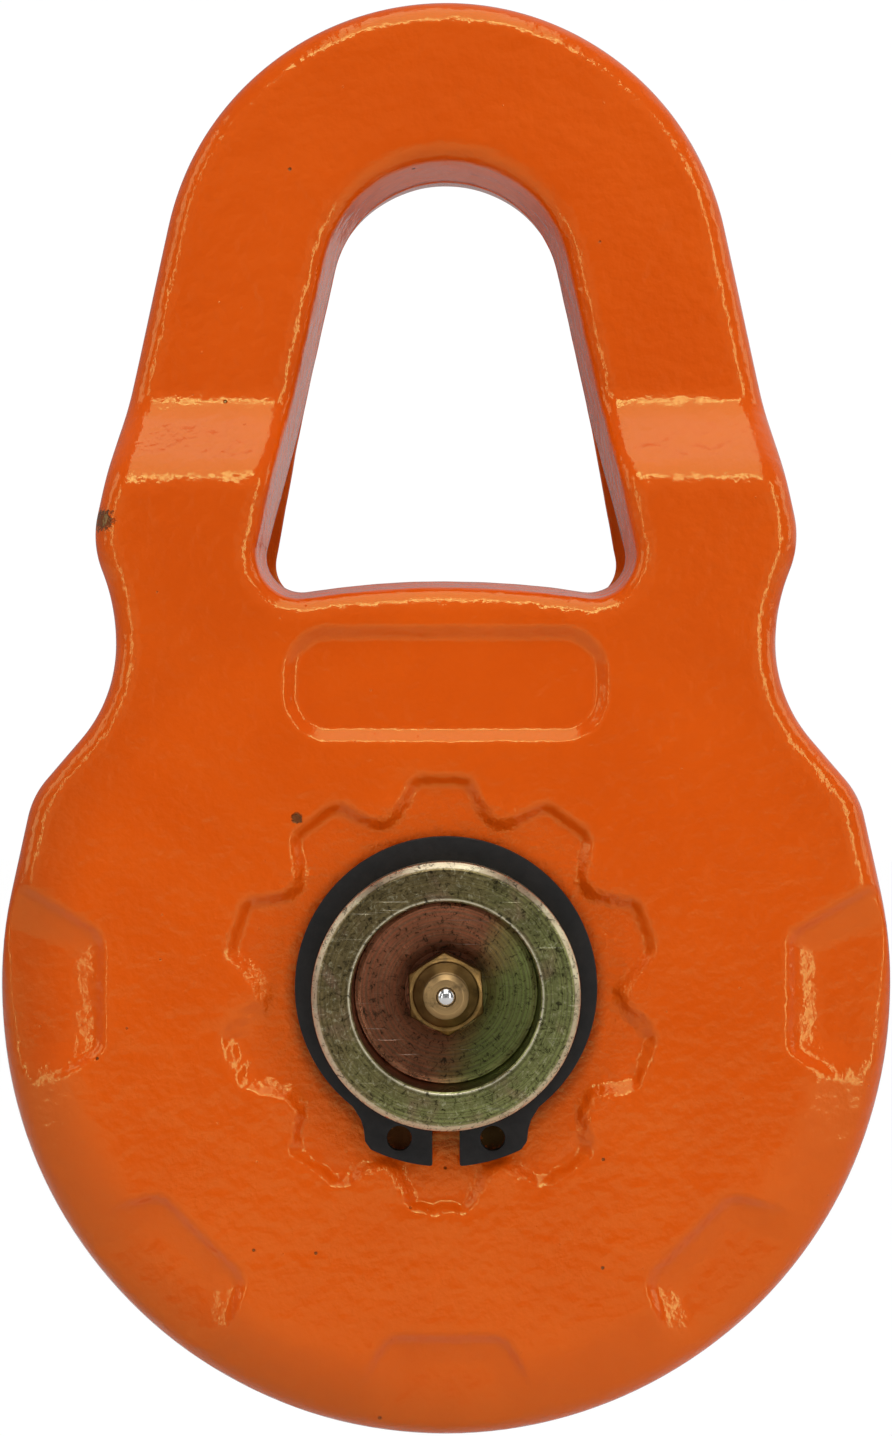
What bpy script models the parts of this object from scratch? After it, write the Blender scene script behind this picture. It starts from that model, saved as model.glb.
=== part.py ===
"""Pulley block with a shackle eye: two cast cheeks on one pin, with a grooved sheave between them.

Metres, +Z up. The world origin is the middle of the eye's arch. Everything is modelled in the pin's
own frame, which the empty pin_axis holds: X to the right, Y up from the pin to the eye, and Z along
the pin towards its front end, where the grease nipple is.
"""

import math

import bmesh
import bpy
from mathutils import Matrix, Vector

# Cheek outline: the circles it runs along, each as x, y and radius. A hollow has a negative radius.
EYE_Y = 0.1078
EYE_R = 0.0439
SHOULDER = (0.0386, 0.0690, 0.0145)
NOTCH_UPPER = (0.0795, 0.0525, -0.0296)
NOTCH_LOWER = (0.0719, 0.0525, -0.0220)
CORNER = (0.0506, 0.0236, 0.0130)
DISC_R = 0.0675
ARC_STEP = math.radians(8.0)

# Eye opening: an arch over two feet and a bowed sill.
ARCH_R = 0.0179
FOOT = (0.02195, 0.0661, 0.0055)
SILL_R = 0.1370
SILL_TOP_Y = 0.0623
OPENING_DRAFT = 0.0012
OPENING_FILLET = 0.0028
OPENING_FLARE = 0.0038

# Cheek section.
CHEEK_INNER_Z = 0.0140
CHEEK_T = 0.0100
CHEEK_OUTER_Z = CHEEK_INNER_Z + CHEEK_T
EYE_GAP = 0.00015
EYE_OUTER_Z = 0.0140 + EYE_GAP
FRONT_BEND = (0.0781, 0.0892)
BACK_BEND = (0.0670, 0.0870)
BEND_BLEND = 0.0030
LEG_FILLET = 0.0042
RIM_START = 0.0110
RIM_SLOPE = math.radians(18.0)
RIM_FILLET = 0.0046
RIM_BLEND = (-0.0060, 0.0165)
BACK_CHAMFER = 0.0008
MOVING_BORE_R = 0.02015
FIXED_BORE_R = 0.02005

# Recesses of the cheek's face.
FIELD_HALF_X = 0.0245
FIELD_Y = (0.0378, 0.0552)
FIELD_CORNER_R = 0.0070
FIELD_DEPTH = 0.0015
FIELD_DRAFT = 0.0019
GEAR_MIDDLE = (-0.0007, -0.0002)
TEETH = 10
TOOTH_TIP = (0.0324, 0.0039, 0.0020)
TOOTH_VALLEY = (0.0257, 0.0033)
GEAR_DEPTH = 0.0019
GEAR_DRAFT = 0.0016
POCKET_ANGLES = (180, 225, 270, 315, 0)
POCKET_MOUTH = (0.0720, 0.0217)
POCKET_INNER = (0.0513, 0.0090)
POCKET_FLOOR_MOUTH = (0.0720, 0.0130)
POCKET_FLOOR_INNER = (0.0562, 0.0065)
POCKET_ROUND = 0.0020
POCKET_DEPTH = 0.0028
CUT_CLEAR = 0.0010

# Pin.
PIN_R = 0.0200
PIN_END = 0.0310
PIN_CHAMFER = 0.0011
WELL_MOUTH_R = 0.0144
WELL_R = 0.0141
WELL_FLOOR_R = 0.0130
WELL_FLOOR = PIN_END - 0.0100
WELL_DISH = 0.0012
THREAD_BORE_R = 0.0046
THREAD_BORE_END = 0.0120
DRILLING_R = 0.0030
DRILLING_END = -0.0030
CROSS_DRILLING_R = 0.0025
GROOVE_R = 0.01875
GROOVE_Z = (0.02265, 0.02455)

# Circlips.
RING_T = 0.00175
RING_Z = 0.0236
RING_INNER_R = 0.01885
RING_OUTER_R = 0.0227
RING_SHIFT = 0.0009
LUG_GAP_HALF = 0.00205
LUG_END_R = 0.0260
LUG_END_HALF = 0.0113
LUG_SIDE = ((0.01215, -0.0222), (0.01235, -0.0204), (0.01275, -0.0190))
LUG_HOLE = (0.0070, -0.0217, 0.00185)

# Sheave, bush and thrust washers.
SHEAVE_R = 0.0600
SHEAVE_HALF = 0.01245
ROPE_R = 0.0065
GROOVE_BOTTOM_R = 0.0460
GROOVE_MOUTH_HALF = 0.0096
SHEAVE_BORE_R = 0.0241
HUB_R = 0.0300
WEB_HALF = 0.0085
WEB_OUTER_R = 0.0404
BUSH_R = (0.02006, 0.02405)
BUSH_HALF = 0.0123
WASHER_R = (0.0203, 0.0290)
WASHER_Z = (0.0126, 0.01385)

# Grease nipple.
HEX_FLATS = 0.0110
HEX_Z = (0.02095, 0.0259)
HEX_TURN = math.radians(3.0)
NIPPLE_TIP = 0.0310
NIPPLE_CONE_R = 0.0051
NIPPLE_NECK_R = 0.00245
NIPPLE_HEAD_R = 0.0034
STEM_R = 0.0044
STEM_END = 0.0136
CHANNEL_R = 0.00175
MOUTH_R = 0.0014
BALL_R = 0.0016
BALL_Z = 0.0299
SEAT_R = (0.0007, 0.0017)
SEAT_Z = (0.0172, 0.0182)
SPRING_Z = (0.01855, 0.0278)
SPRING_R = 0.0013
SPRING_WIRE_R = 0.0002
SPRING_TURNS = 7


def empty_scene():
    for obj in list(bpy.data.objects):
        bpy.data.objects.remove(obj, do_unlink=True)


def add_collection(name):
    made = bpy.data.collections.new(name)
    bpy.context.scene.collection.children.link(made)
    return made


def add_pin_axis():
    made = bpy.data.objects.new("pin_axis", None)
    made.location = (0.0, 0.0, -EYE_Y)
    made.rotation_euler = (math.pi / 2, 0.0, 0.0)
    PARTS.objects.link(made)
    return made


def material(name, colour, roughness, metallic):
    made = bpy.data.materials.new(name)
    made.use_nodes = True
    shader = made.node_tree.nodes["Principled BSDF"]
    shader.inputs["Base Color"].default_value = (*colour, 1.0)
    shader.inputs["Roughness"].default_value = roughness
    shader.inputs["Metallic"].default_value = metallic
    return made


def add_part(name, data, look):
    """A named part on the pin's axis."""
    obj = bpy.data.objects.new(name, data)
    data.materials.append(look)
    PARTS.objects.link(obj)
    obj.parent = PIN_AXIS
    return obj


def add_cutter(name, data):
    """A hidden helper shape on the pin's axis."""
    obj = bpy.data.objects.new(name, data)
    obj.hide_render = True
    obj.display_type = "WIRE"
    CUTTERS.objects.link(obj)
    obj.parent = PIN_AXIS
    return obj


def boolean(obj, operation, tool):
    step = obj.modifiers.new(tool.name, "BOOLEAN")
    step.operation = operation
    step.solver = "EXACT"
    step.object = tool


def mesh_from(name, bm):
    mesh = bpy.data.meshes.new(name)
    bm.to_mesh(mesh)
    bm.free()
    return mesh


def profile_mesh(name, points, closed):
    """Points of (radius, z) joined by edges, ready for a Screw modifier."""
    edges = [(k, k + 1) for k in range(len(points) - 1)]
    if closed:
        edges.append((len(points) - 1, 0))
    mesh = bpy.data.meshes.new(name)
    mesh.from_pydata([(radius, 0.0, z) for radius, z in points], edges, [])
    return mesh


def spin(obj, steps):
    """Turns the object's profile about the pin's axis."""
    screw = obj.modifiers.new("turn", "SCREW")
    screw.axis = "Z"
    screw.angle = 2.0 * math.pi
    screw.steps = steps
    screw.render_steps = steps
    screw.use_merge_vertices = True
    screw.merge_threshold = 0.00001
    screw.use_smooth_shade = True
    return obj


def cylinder(radius, low, high, steps):
    bm = bmesh.new()
    bmesh.ops.create_cone(
        bm, cap_ends=True, segments=steps, radius1=radius, radius2=radius, depth=high - low
    )
    bmesh.ops.translate(bm, verts=bm.verts, vec=(0.0, 0.0, (low + high) / 2.0))
    return bm


def loft(rings):
    """A closed body through rings of as many points each."""
    bm = bmesh.new()
    loops = [[bm.verts.new(point) for point in ring] for ring in rings]
    count = len(loops[0])
    for low, high in zip(loops, loops[1:]):
        for k in range(count):
            after = (k + 1) % count
            bm.faces.new((low[k], low[after], high[after], high[k]))
    bm.faces.new(loops[0])
    bm.faces.new(list(reversed(loops[-1])))
    bmesh.ops.recalc_face_normals(bm, faces=bm.faces)
    return bm


def arc(x, y, radius, start, stop, count):
    """Points on a circle, with the angles counted from +X in radians."""
    angles = [start + (stop - start) * k / count for k in range(count + 1)]
    return [(x + radius * math.cos(a), y + radius * math.sin(a)) for a in angles]


def tangent_normal(first, second):
    """The angle of the outward normal on the line that touches two circles of a chain."""
    dx = first[0] - second[0]
    dy = first[1] - second[1]
    share = (second[2] - first[2]) / math.hypot(dx, dy)
    return math.atan2(dy, dx) - math.acos(max(-1.0, min(1.0, share)))


def chain(circles, start, stop, grow=0.0, step=ARC_STEP):
    """Points and outward normals along circles joined by the lines that touch both. It runs from the
    normal angle start on the first circle to stop on the last, and lies grow outside them.
    """
    ends = [start]
    ends += [tangent_normal(first, second) for first, second in zip(circles, circles[1:])]
    ends.append(stop)
    found = []
    for (x, y, radius), low, high in zip(circles, ends, ends[1:]):
        wide = max(1.0, abs(radius) / 0.024)
        count = max(2, math.ceil(abs(high - low) / step * wide))
        for k in range(count + 1):
            angle = low + (high - low) * k / count
            normal = Vector((math.cos(angle), math.sin(angle)))
            point = Vector((x, y)) + normal * (radius + grow)
            if not found or (point - found[-1][0]).length > 0.00005:
                found.append((point, normal))
    return found


def mirrored(half):
    """A right half that runs from the top to the bottom, with the left half that closes it."""
    left = [(Vector((-p.x, p.y)), Vector((-n.x, n.y))) for p, n in reversed(half[1:-1])]
    return half + left


def rounded(corners, radii, steps):
    """A closed polygon with each corner an arc of its radius and of steps + 1 points."""
    made = []
    for k, radius in enumerate(radii):
        corner = Vector(corners[k])
        first = Vector(corners[k - 1]) - corner
        second = Vector(corners[(k + 1) % len(corners)]) - corner
        half = first.angle(second) / 2.0
        reach = min(radius / math.tan(half), first.length * 0.49, second.length * 0.49)
        out = (first.normalized() + second.normalized()).normalized()
        middle = corner + out * (reach / math.cos(half))
        low = corner + first.normalized() * reach - middle
        high = corner + second.normalized() * reach - middle
        sweep = math.atan2(low.cross(high), low.dot(high))
        for step in range(steps + 1):
            point = middle + Matrix.Rotation(sweep * step / steps, 2) @ low
            made.append((point.x, point.y))
    return made


def smooth_step(value, low, high):
    share = max(0.0, min(1.0, (value - low) / (high - low)))
    return share * share * (3.0 - 2.0 * share)


def rim_sections():
    """The disc's rim and the legs' edge, ring by ring, each as how far in and how far down."""
    fillet_in = RIM_FILLET * (1.0 - math.sin(RIM_SLOPE))
    cone_drop = math.tan(RIM_SLOPE) * (RIM_START - fillet_in)
    sections = [((RIM_START, 0.0), (LEG_FILLET + 0.0010, 0.0))]
    for share in (0.0, 0.3, 0.6, 0.8, 1.0):
        turn = RIM_SLOPE + (math.pi / 2 - RIM_SLOPE) * share
        disc_drop = cone_drop + RIM_FILLET * (math.cos(RIM_SLOPE) - math.cos(turn))
        disc = (RIM_FILLET * (1.0 - math.sin(turn)), disc_drop)
        turn = math.pi / 2 * share
        leg = (LEG_FILLET * (1.0 - math.sin(turn)), LEG_FILLET * (1.0 - math.cos(turn)))
        sections.append((disc, leg))
    return sections


def cheek_blank():
    """The flat plate of a cheek. The disc's rim is a cone with a fillet, the legs' edge a plain fillet."""
    circles = [(0.0, EYE_Y, EYE_R), SHOULDER, NOTCH_UPPER, NOTCH_LOWER, CORNER, (0.0, 0.0, DISC_R)]
    outline = mirrored(chain(circles, math.pi / 2, -math.pi / 2))
    rings = []
    for disc, plain in rim_sections():
        ring = []
        for point, normal in outline:
            leg = smooth_step(point.y, *RIM_BLEND)
            inward = disc[0] + (plain[0] - disc[0]) * leg
            drop = disc[1] + (plain[1] - disc[1]) * leg
            ring.append((*(point - normal * inward), CHEEK_OUTER_Z - drop))
        rings.append(ring)
    rings.append([(*point, CHEEK_INNER_Z + BACK_CHAMFER) for point, _ in outline])
    rings.append([(*(point - normal * BACK_CHAMFER), CHEEK_INNER_Z) for point, normal in outline])
    return loft(rings)


def opening_outline(grow):
    """The eye opening, larger all round by grow."""
    sill_middle = SILL_TOP_Y - SILL_R
    lean = math.atan2(FOOT[0], FOOT[1] - sill_middle)
    circles = [(0.0, EYE_Y, ARCH_R), FOOT]
    half = chain(circles, math.pi / 2, -math.pi / 2 - lean, grow, ARC_STEP * 1.5)
    sill = arc(0.0, sill_middle, SILL_R - grow, math.pi / 2 - lean, math.pi / 2, 3)
    half += [(Vector(point), Vector((0.0, -1.0))) for point in sill[1:]]
    return [tuple(point) for point, _ in mirrored(half)]


def opening_cutter():
    """The eye opening with its draft and the rounded lip on the outer face."""
    lip = CHEEK_OUTER_Z - OPENING_FILLET
    sections = [(CHEEK_INNER_Z - 2.0 * CUT_CLEAR, -0.0002), (CHEEK_INNER_Z, 0.0), (lip, OPENING_DRAFT)]
    for degrees in (30.0, 60.0, 85.0):
        a = math.radians(degrees)
        flare = OPENING_FLARE * (1.0 - math.cos(a))
        sections.append((lip + OPENING_FILLET * math.sin(a), OPENING_DRAFT + flare))
    sections.append((CHEEK_OUTER_Z + CUT_CLEAR, OPENING_DRAFT + OPENING_FLARE * 1.3))
    return loft([[(x, y, z) for x, y in opening_outline(grow)] for z, grow in sections])


def sunk(outline, depth, draft, edge=0.0):
    """A cutter for a recess whose wall leans in by draft over its depth. outline(edge) is its edge."""
    floor = [(x, y, CHEEK_OUTER_Z - depth) for x, y in outline(edge - draft)]
    above = outline(edge + draft * CUT_CLEAR / depth)
    return loft([floor, [(x, y, CHEEK_OUTER_Z + CUT_CLEAR) for x, y in above]])


def field_outline(grow):
    side = FIELD_HALF_X + grow
    low = FIELD_Y[0] - grow
    high = FIELD_Y[1] + grow
    corners = [(side, low), (side, high), (-side, high), (-side, low)]
    return rounded(corners, [FIELD_CORNER_R + grow] * 4, 5)


def gear_outline(grow):
    """The toothed recess round the pin. Its wall's middle is the outline for grow 0."""
    radius, half, tip_round = TOOTH_TIP
    valley_r, valley_round = TOOTH_VALLEY
    half += grow / 2.0
    out = math.sqrt((radius + grow) ** 2 - half**2)
    valley = Matrix.Rotation(-math.pi / TEETH, 2) @ Vector((0.0, valley_r + grow * 1.3))
    corners = []
    for k in range(TEETH):
        turn = Matrix.Rotation(-2.0 * math.pi * k / TEETH, 2)
        for corner in (Vector((-half, out)), Vector((half, out)), valley):
            corners.append(turn @ corner + Vector(GEAR_MIDDLE))
    return rounded(corners, [tip_round, tip_round, valley_round] * TEETH, 3)


def pocket_outline(inner, mouth):
    corners = [(inner[0], -inner[1]), (mouth[0], -mouth[1]), (mouth[0], mouth[1]), inner]
    return rounded(corners, [POCKET_ROUND] * 4, 3)


def pocket_cutter(degrees):
    """A flared pocket with sloped walls, open at the rim."""
    floor = pocket_outline(POCKET_FLOOR_INNER, POCKET_FLOOR_MOUTH)
    edge = pocket_outline(POCKET_INNER, POCKET_MOUTH)
    above = 1.0 + CUT_CLEAR / POCKET_DEPTH
    top = [tuple(Vector(f).lerp(Vector(e), above)) for f, e in zip(floor, edge)]
    low = [(x, y, CHEEK_OUTER_Z - POCKET_DEPTH) for x, y in floor]
    high = [(x, y, CHEEK_OUTER_Z + CUT_CLEAR) for x, y in top]
    bm = loft([low, high])
    turn = Matrix.Rotation(math.radians(degrees), 3, "Z")
    bmesh.ops.rotate(bm, verts=bm.verts, matrix=turn)
    return bm


def bend_share(y, span):
    """How far up its bend a face is: 0 on the cheek, 1 on the eye, with both ends blended."""
    low, high = span
    slope = 1.0 / (high - low)
    if y <= low - BEND_BLEND:
        return 0.0
    if y < low + BEND_BLEND:
        return (y - low + BEND_BLEND) ** 2 * slope / (4.0 * BEND_BLEND)
    if y <= high - BEND_BLEND:
        return (y - low) * slope
    if y < high + BEND_BLEND:
        return 1.0 - (high + BEND_BLEND - y) ** 2 * slope / (4.0 * BEND_BLEND)
    return 1.0


def bend(bm):
    """Brings the plate in above the sheave, so that the two halves of the eye meet."""
    ends = FRONT_BEND + BACK_BEND
    for y in sorted(end + BEND_BLEND * k / 2.0 for end in ends for k in range(-2, 3)):
        everything = bm.verts[:] + bm.edges[:] + bm.faces[:]
        bmesh.ops.bisect_plane(bm, geom=everything, plane_co=(0.0, y, 0.0), plane_no=(0.0, 1.0, 0.0))
    for v in bm.verts:
        depth = (CHEEK_OUTER_Z - v.co.z) / CHEEK_T
        share = max(0.0, min(1.0, (depth - 0.35) / 0.65))
        outer = (CHEEK_OUTER_Z - EYE_OUTER_Z) * bend_share(v.co.y, FRONT_BEND)
        inner = (CHEEK_INNER_Z - EYE_GAP) * bend_share(v.co.y, BACK_BEND)
        v.co.z -= outer * (1.0 - share) + inner * share


def cheek_mesh(name, bore_r):
    """A cheek: cut while it is a flat plate, then bent."""
    blank = add_cutter(name + "_blank", mesh_from(name + "_blank", cheek_blank()))
    shapes = {
        "opening": opening_cutter(),
        "field": sunk(field_outline, FIELD_DEPTH, FIELD_DRAFT),
        "gear": sunk(gear_outline, GEAR_DEPTH, GEAR_DRAFT, GEAR_DRAFT / 2.0),
        "bore": cylinder(bore_r, CHEEK_INNER_Z - 0.003, CHEEK_OUTER_Z + 0.003, 64),
    }
    for degrees in POCKET_ANGLES:
        shapes[f"pocket_{degrees}"] = pocket_cutter(degrees)
    for shape, bm in shapes.items():
        tool = f"{name}_{shape}_cutter"
        boolean(blank, "DIFFERENCE", add_cutter(tool, mesh_from(tool, bm)))
    graph = bpy.context.evaluated_depsgraph_get()
    mesh = bpy.data.meshes.new_from_object(blank.evaluated_get(graph))
    mesh.name = name
    bpy.data.objects.remove(blank, do_unlink=True)
    bm = bmesh.new()
    bm.from_mesh(mesh)
    bmesh.ops.remove_doubles(bm, verts=bm.verts, dist=0.0000001)
    bend(bm)
    bmesh.ops.recalc_face_normals(bm, faces=bm.faces)
    bm.to_mesh(mesh)
    bm.free()
    mesh.shade_smooth()
    mesh.set_sharp_from_angle(angle=math.radians(30.0))
    return mesh


def add_cheeks(look):
    add_part("front_cheek", cheek_mesh("front_cheek", MOVING_BORE_R), look)
    rear = add_part("rear_cheek", cheek_mesh("rear_cheek", FIXED_BORE_R), look)
    rear.rotation_euler = (0.0, math.pi, 0.0)


def add_pin(look):
    """The pin, with the nipple's well in its front end, the grease drillings and two circlip grooves."""
    near, far = GROOVE_Z
    profile = [
        (0.0, DRILLING_END - DRILLING_R / 2.0),
        (DRILLING_R, DRILLING_END),
        (DRILLING_R, THREAD_BORE_END - 0.001),
        (THREAD_BORE_R, THREAD_BORE_END),
        (THREAD_BORE_R, WELL_FLOOR - WELL_DISH),
        (THREAD_BORE_R + 0.0016, WELL_FLOOR - WELL_DISH),
        (WELL_FLOOR_R, WELL_FLOOR),
        (WELL_FLOOR_R + 0.0004, WELL_FLOOR + 0.0004),
        (WELL_R, PIN_END - 0.0003),
        (WELL_MOUTH_R, PIN_END),
        (PIN_R - PIN_CHAMFER, PIN_END),
        (PIN_R, PIN_END - PIN_CHAMFER),
        (PIN_R, far),
        (GROOVE_R, far),
        (GROOVE_R, near),
        (PIN_R, near),
        (PIN_R, -near),
        (GROOVE_R, -near),
        (GROOVE_R, -far),
        (PIN_R, -far),
        (PIN_R, PIN_CHAMFER - PIN_END),
        (PIN_R - PIN_CHAMFER, -PIN_END),
        (0.0, -PIN_END),
    ]
    pin = spin(add_part("axle_pin", profile_mesh("axle_pin", profile, False), look), 64)
    drilling = cylinder(CROSS_DRILLING_R, 0.0, PIN_R + 0.003, 20)
    bmesh.ops.rotate(drilling, verts=drilling.verts, matrix=Matrix.Rotation(math.pi / 2, 3, "X"))
    boolean(pin, "DIFFERENCE", add_cutter("cross_drilling", mesh_from("cross_drilling", drilling)))


def circlip_outline():
    """The ring's edge: round the inside, then out over the left lug, the back and the right lug."""
    gap = math.asin(LUG_GAP_HALF / RING_INNER_R)
    inside = arc(0.0, 0.0, RING_INNER_R, -math.pi / 2 + gap, 1.5 * math.pi - gap, 72)
    end = math.asin(LUG_GAP_HALF / LUG_END_R)
    corner = math.asin(LUG_END_HALF / LUG_END_R)
    lug = arc(0.0, 0.0, LUG_END_R, -math.pi / 2 + end, -math.pi / 2 + corner, 4) + list(LUG_SIDE)
    right = lug + arc(0.0, RING_SHIFT, RING_OUTER_R, math.radians(-52.0), math.pi / 2, 32)
    left = [(-x, y) for x, y in right[:-1]]
    return inside + left + list(reversed(right))


def poly_spline(curve, points, closed):
    spline = curve.splines.new("POLY")
    spline.points.add(len(points) - 1)
    for place, point in zip(spline.points, points):
        place.co = (*point, 1.0)
    spline.use_cyclic_u = closed


def circlip_curve(name):
    curve = bpy.data.curves.new(name, "CURVE")
    curve.dimensions = "2D"
    curve.fill_mode = "BOTH"
    curve.extrude = RING_T / 2.0
    poly_spline(curve, [(x, y, 0.0) for x, y in circlip_outline()], True)
    x, y, radius = LUG_HOLE
    for side in (-x, x):
        hole = arc(side, y, radius, 0.0, 2.0 * math.pi, 20)[:-1]
        poly_spline(curve, [(hx, hy, 0.0) for hx, hy in hole], True)
    return curve


def add_circlips(look):
    front = add_part("front_circlip", circlip_curve("front_circlip"), look)
    front.location = (0.0, 0.0, RING_Z)
    rear = add_part("rear_circlip", circlip_curve("rear_circlip"), look)
    rear.location = (0.0, 0.0, -RING_Z)
    rear.rotation_euler = (0.0, math.pi, 0.0)


def add_sheave(look):
    """The wheel: hub, web and a round groove for the rope between two flanges."""
    top = [
        (SHEAVE_BORE_R, SHEAVE_HALF - 0.0006),
        (SHEAVE_BORE_R + 0.0006, SHEAVE_HALF),
        (HUB_R, SHEAVE_HALF),
        (HUB_R + 0.0016, WEB_HALF),
        (WEB_OUTER_R, WEB_HALF),
        (WEB_OUTER_R + 0.0022, SHEAVE_HALF),
        (SHEAVE_R - 0.0010, SHEAVE_HALF),
        (SHEAVE_R, SHEAVE_HALF - 0.0010),
        (SHEAVE_R - 0.0003, GROOVE_MOUTH_HALF + 0.0004),
        (SHEAVE_R - 0.0010, GROOVE_MOUTH_HALF - 0.0002),
    ]
    seat = arc(GROOVE_BOTTOM_R + ROPE_R, 0.0, ROPE_R, math.radians(108.0), math.pi, 5)
    half = top + seat
    profile = half + [(radius, -z) for radius, z in reversed(half[:-1])]
    spin(add_part("sheave", profile_mesh("sheave", profile, True), look), 64)


def add_tube(name, radii, ends, chamfer, look, steps=48):
    """A turned ring with chamfered edges, such as a bush or a washer."""
    inner, outer = radii
    low, high = ends
    profile = [
        (inner + chamfer, high),
        (outer - chamfer, high),
        (outer, high - chamfer),
        (outer, low + chamfer),
        (outer - chamfer, low),
        (inner + chamfer, low),
        (inner, low + chamfer),
        (inner, high - chamfer),
    ]
    return spin(add_part(name, profile_mesh(name, profile, True), look), steps)


def add_washers(look):
    near, far = WASHER_Z
    add_tube("front_thrust_washer", WASHER_R, (near, far), 0.0002, look)
    add_tube("rear_thrust_washer", WASHER_R, (-far, -near), 0.0002, look)


def add_nipple_body(look):
    """A turned body joined to its hexagon, with the channel bored through both."""
    outside = [
        (0.0, NIPPLE_TIP),
        (NIPPLE_HEAD_R - 0.0009, NIPPLE_TIP),
        (NIPPLE_HEAD_R, NIPPLE_TIP - 0.0007),
        (NIPPLE_HEAD_R, NIPPLE_TIP - 0.0014),
        (NIPPLE_NECK_R, NIPPLE_TIP - 0.0022),
        (NIPPLE_NECK_R, NIPPLE_TIP - 0.0029),
        (NIPPLE_CONE_R, HEX_Z[1] + 0.0003),
        (NIPPLE_CONE_R, HEX_Z[1] - 0.0010),
        (STEM_R, HEX_Z[1] - 0.0010),
        (STEM_R, STEM_END + 0.0006),
        (STEM_R - 0.0006, STEM_END),
        (0.0, STEM_END),
    ]
    channel = [
        (0.0, NIPPLE_TIP + 0.001),
        (MOUTH_R, NIPPLE_TIP + 0.001),
        (MOUTH_R, NIPPLE_TIP - 0.0003),
        (CHANNEL_R, NIPPLE_TIP - 0.0008),
        (CHANNEL_R, STEM_END - 0.001),
        (0.0, STEM_END - 0.001),
    ]
    body = spin(add_part("nipple_body", profile_mesh("nipple_body", outside, False), look), 36)
    hexagon = cylinder(HEX_FLATS / math.sqrt(3.0), *HEX_Z, 6)
    bmesh.ops.bevel(hexagon, geom=hexagon.edges[:], offset=0.0003, segments=1, affect="EDGES")
    wrench = add_cutter("nipple_hexagon", mesh_from("nipple_hexagon", hexagon))
    wrench.rotation_euler = (0.0, 0.0, HEX_TURN)
    boolean(body, "UNION", wrench)
    boolean(body, "DIFFERENCE", spin(add_cutter("nipple_channel", profile_mesh("channel", channel, False)), 36))


def add_nipple_ball(look):
    bm = bmesh.new()
    bmesh.ops.create_icosphere(bm, subdivisions=3, radius=BALL_R)
    ball = add_part("nipple_ball", mesh_from("nipple_ball", bm), look)
    ball.data.shade_smooth()
    ball.location = (0.0, 0.0, BALL_Z)


def add_nipple_spring(look):
    """A coil with closed turns at both ends."""
    low, high = SPRING_Z
    per_turn = 12
    last = per_turn * SPRING_TURNS
    points = []
    for k in range(last + 1):
        turns = k / per_turn
        open_share = max(0.0, min(1.0, (turns - 1.0) / (SPRING_TURNS - 2.0)))
        closed_turns = min(turns, 1.0) + max(0.0, turns - SPRING_TURNS + 1.0)
        lift = closed_turns * SPRING_WIRE_R * 2.3
        z = low + lift + (high - low - SPRING_WIRE_R * 4.6) * open_share
        angle = 2.0 * math.pi * turns
        points.append((SPRING_R * math.cos(angle), SPRING_R * math.sin(angle), z))
    curve = bpy.data.curves.new("nipple_spring", "CURVE")
    curve.dimensions = "3D"
    curve.bevel_depth = SPRING_WIRE_R
    curve.bevel_resolution = 1
    curve.use_fill_caps = True
    poly_spline(curve, points, False)
    add_part("nipple_spring", curve, look)


def build():
    paint = material("orange_paint", (0.62, 0.10, 0.012), 0.28, 0.0)
    zinc = material("yellow_zinc", (0.50, 0.46, 0.26), 0.38, 1.0)
    black = material("black_steel", (0.03, 0.03, 0.035), 0.5, 0.6)
    steel = material("machined_steel", (0.45, 0.45, 0.46), 0.4, 1.0)
    bronze = material("bronze", (0.55, 0.34, 0.14), 0.4, 1.0)
    brass = material("brass", (0.60, 0.44, 0.18), 0.35, 1.0)
    bright = material("bright_steel", (0.75, 0.75, 0.76), 0.12, 1.0)
    polymer = material("washer_polymer", (0.08, 0.08, 0.09), 0.55, 0.0)
    add_cheeks(paint)
    add_pin(zinc)
    add_circlips(black)
    add_sheave(steel)
    add_tube("sheave_bush", BUSH_R, (-BUSH_HALF, BUSH_HALF), 0.0003, bronze)
    add_washers(polymer)
    add_nipple_body(brass)
    add_nipple_ball(bright)
    add_nipple_spring(bright)
    add_tube("nipple_spring_seat", SEAT_R, SEAT_Z, 0.0001, brass, steps=24)


empty_scene()
PARTS = add_collection("pulley_block")
CUTTERS = add_collection("cutters")
CUTTERS.hide_render = True
PIN_AXIS = add_pin_axis()
build()
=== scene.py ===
"""Looks of the pulley block: fine castings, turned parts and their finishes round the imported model.

Metres. The block's own pieces are made in the pin's frame: X to the right, Y up from the pin to the
eye, Z along the pin towards its front end, where the grease nipple is.
"""

import math

import bmesh
import bpy
import numpy as np
from mathutils import Matrix, Vector, noise
from mathutils.geometry import delaunay_2d_cdt


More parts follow.
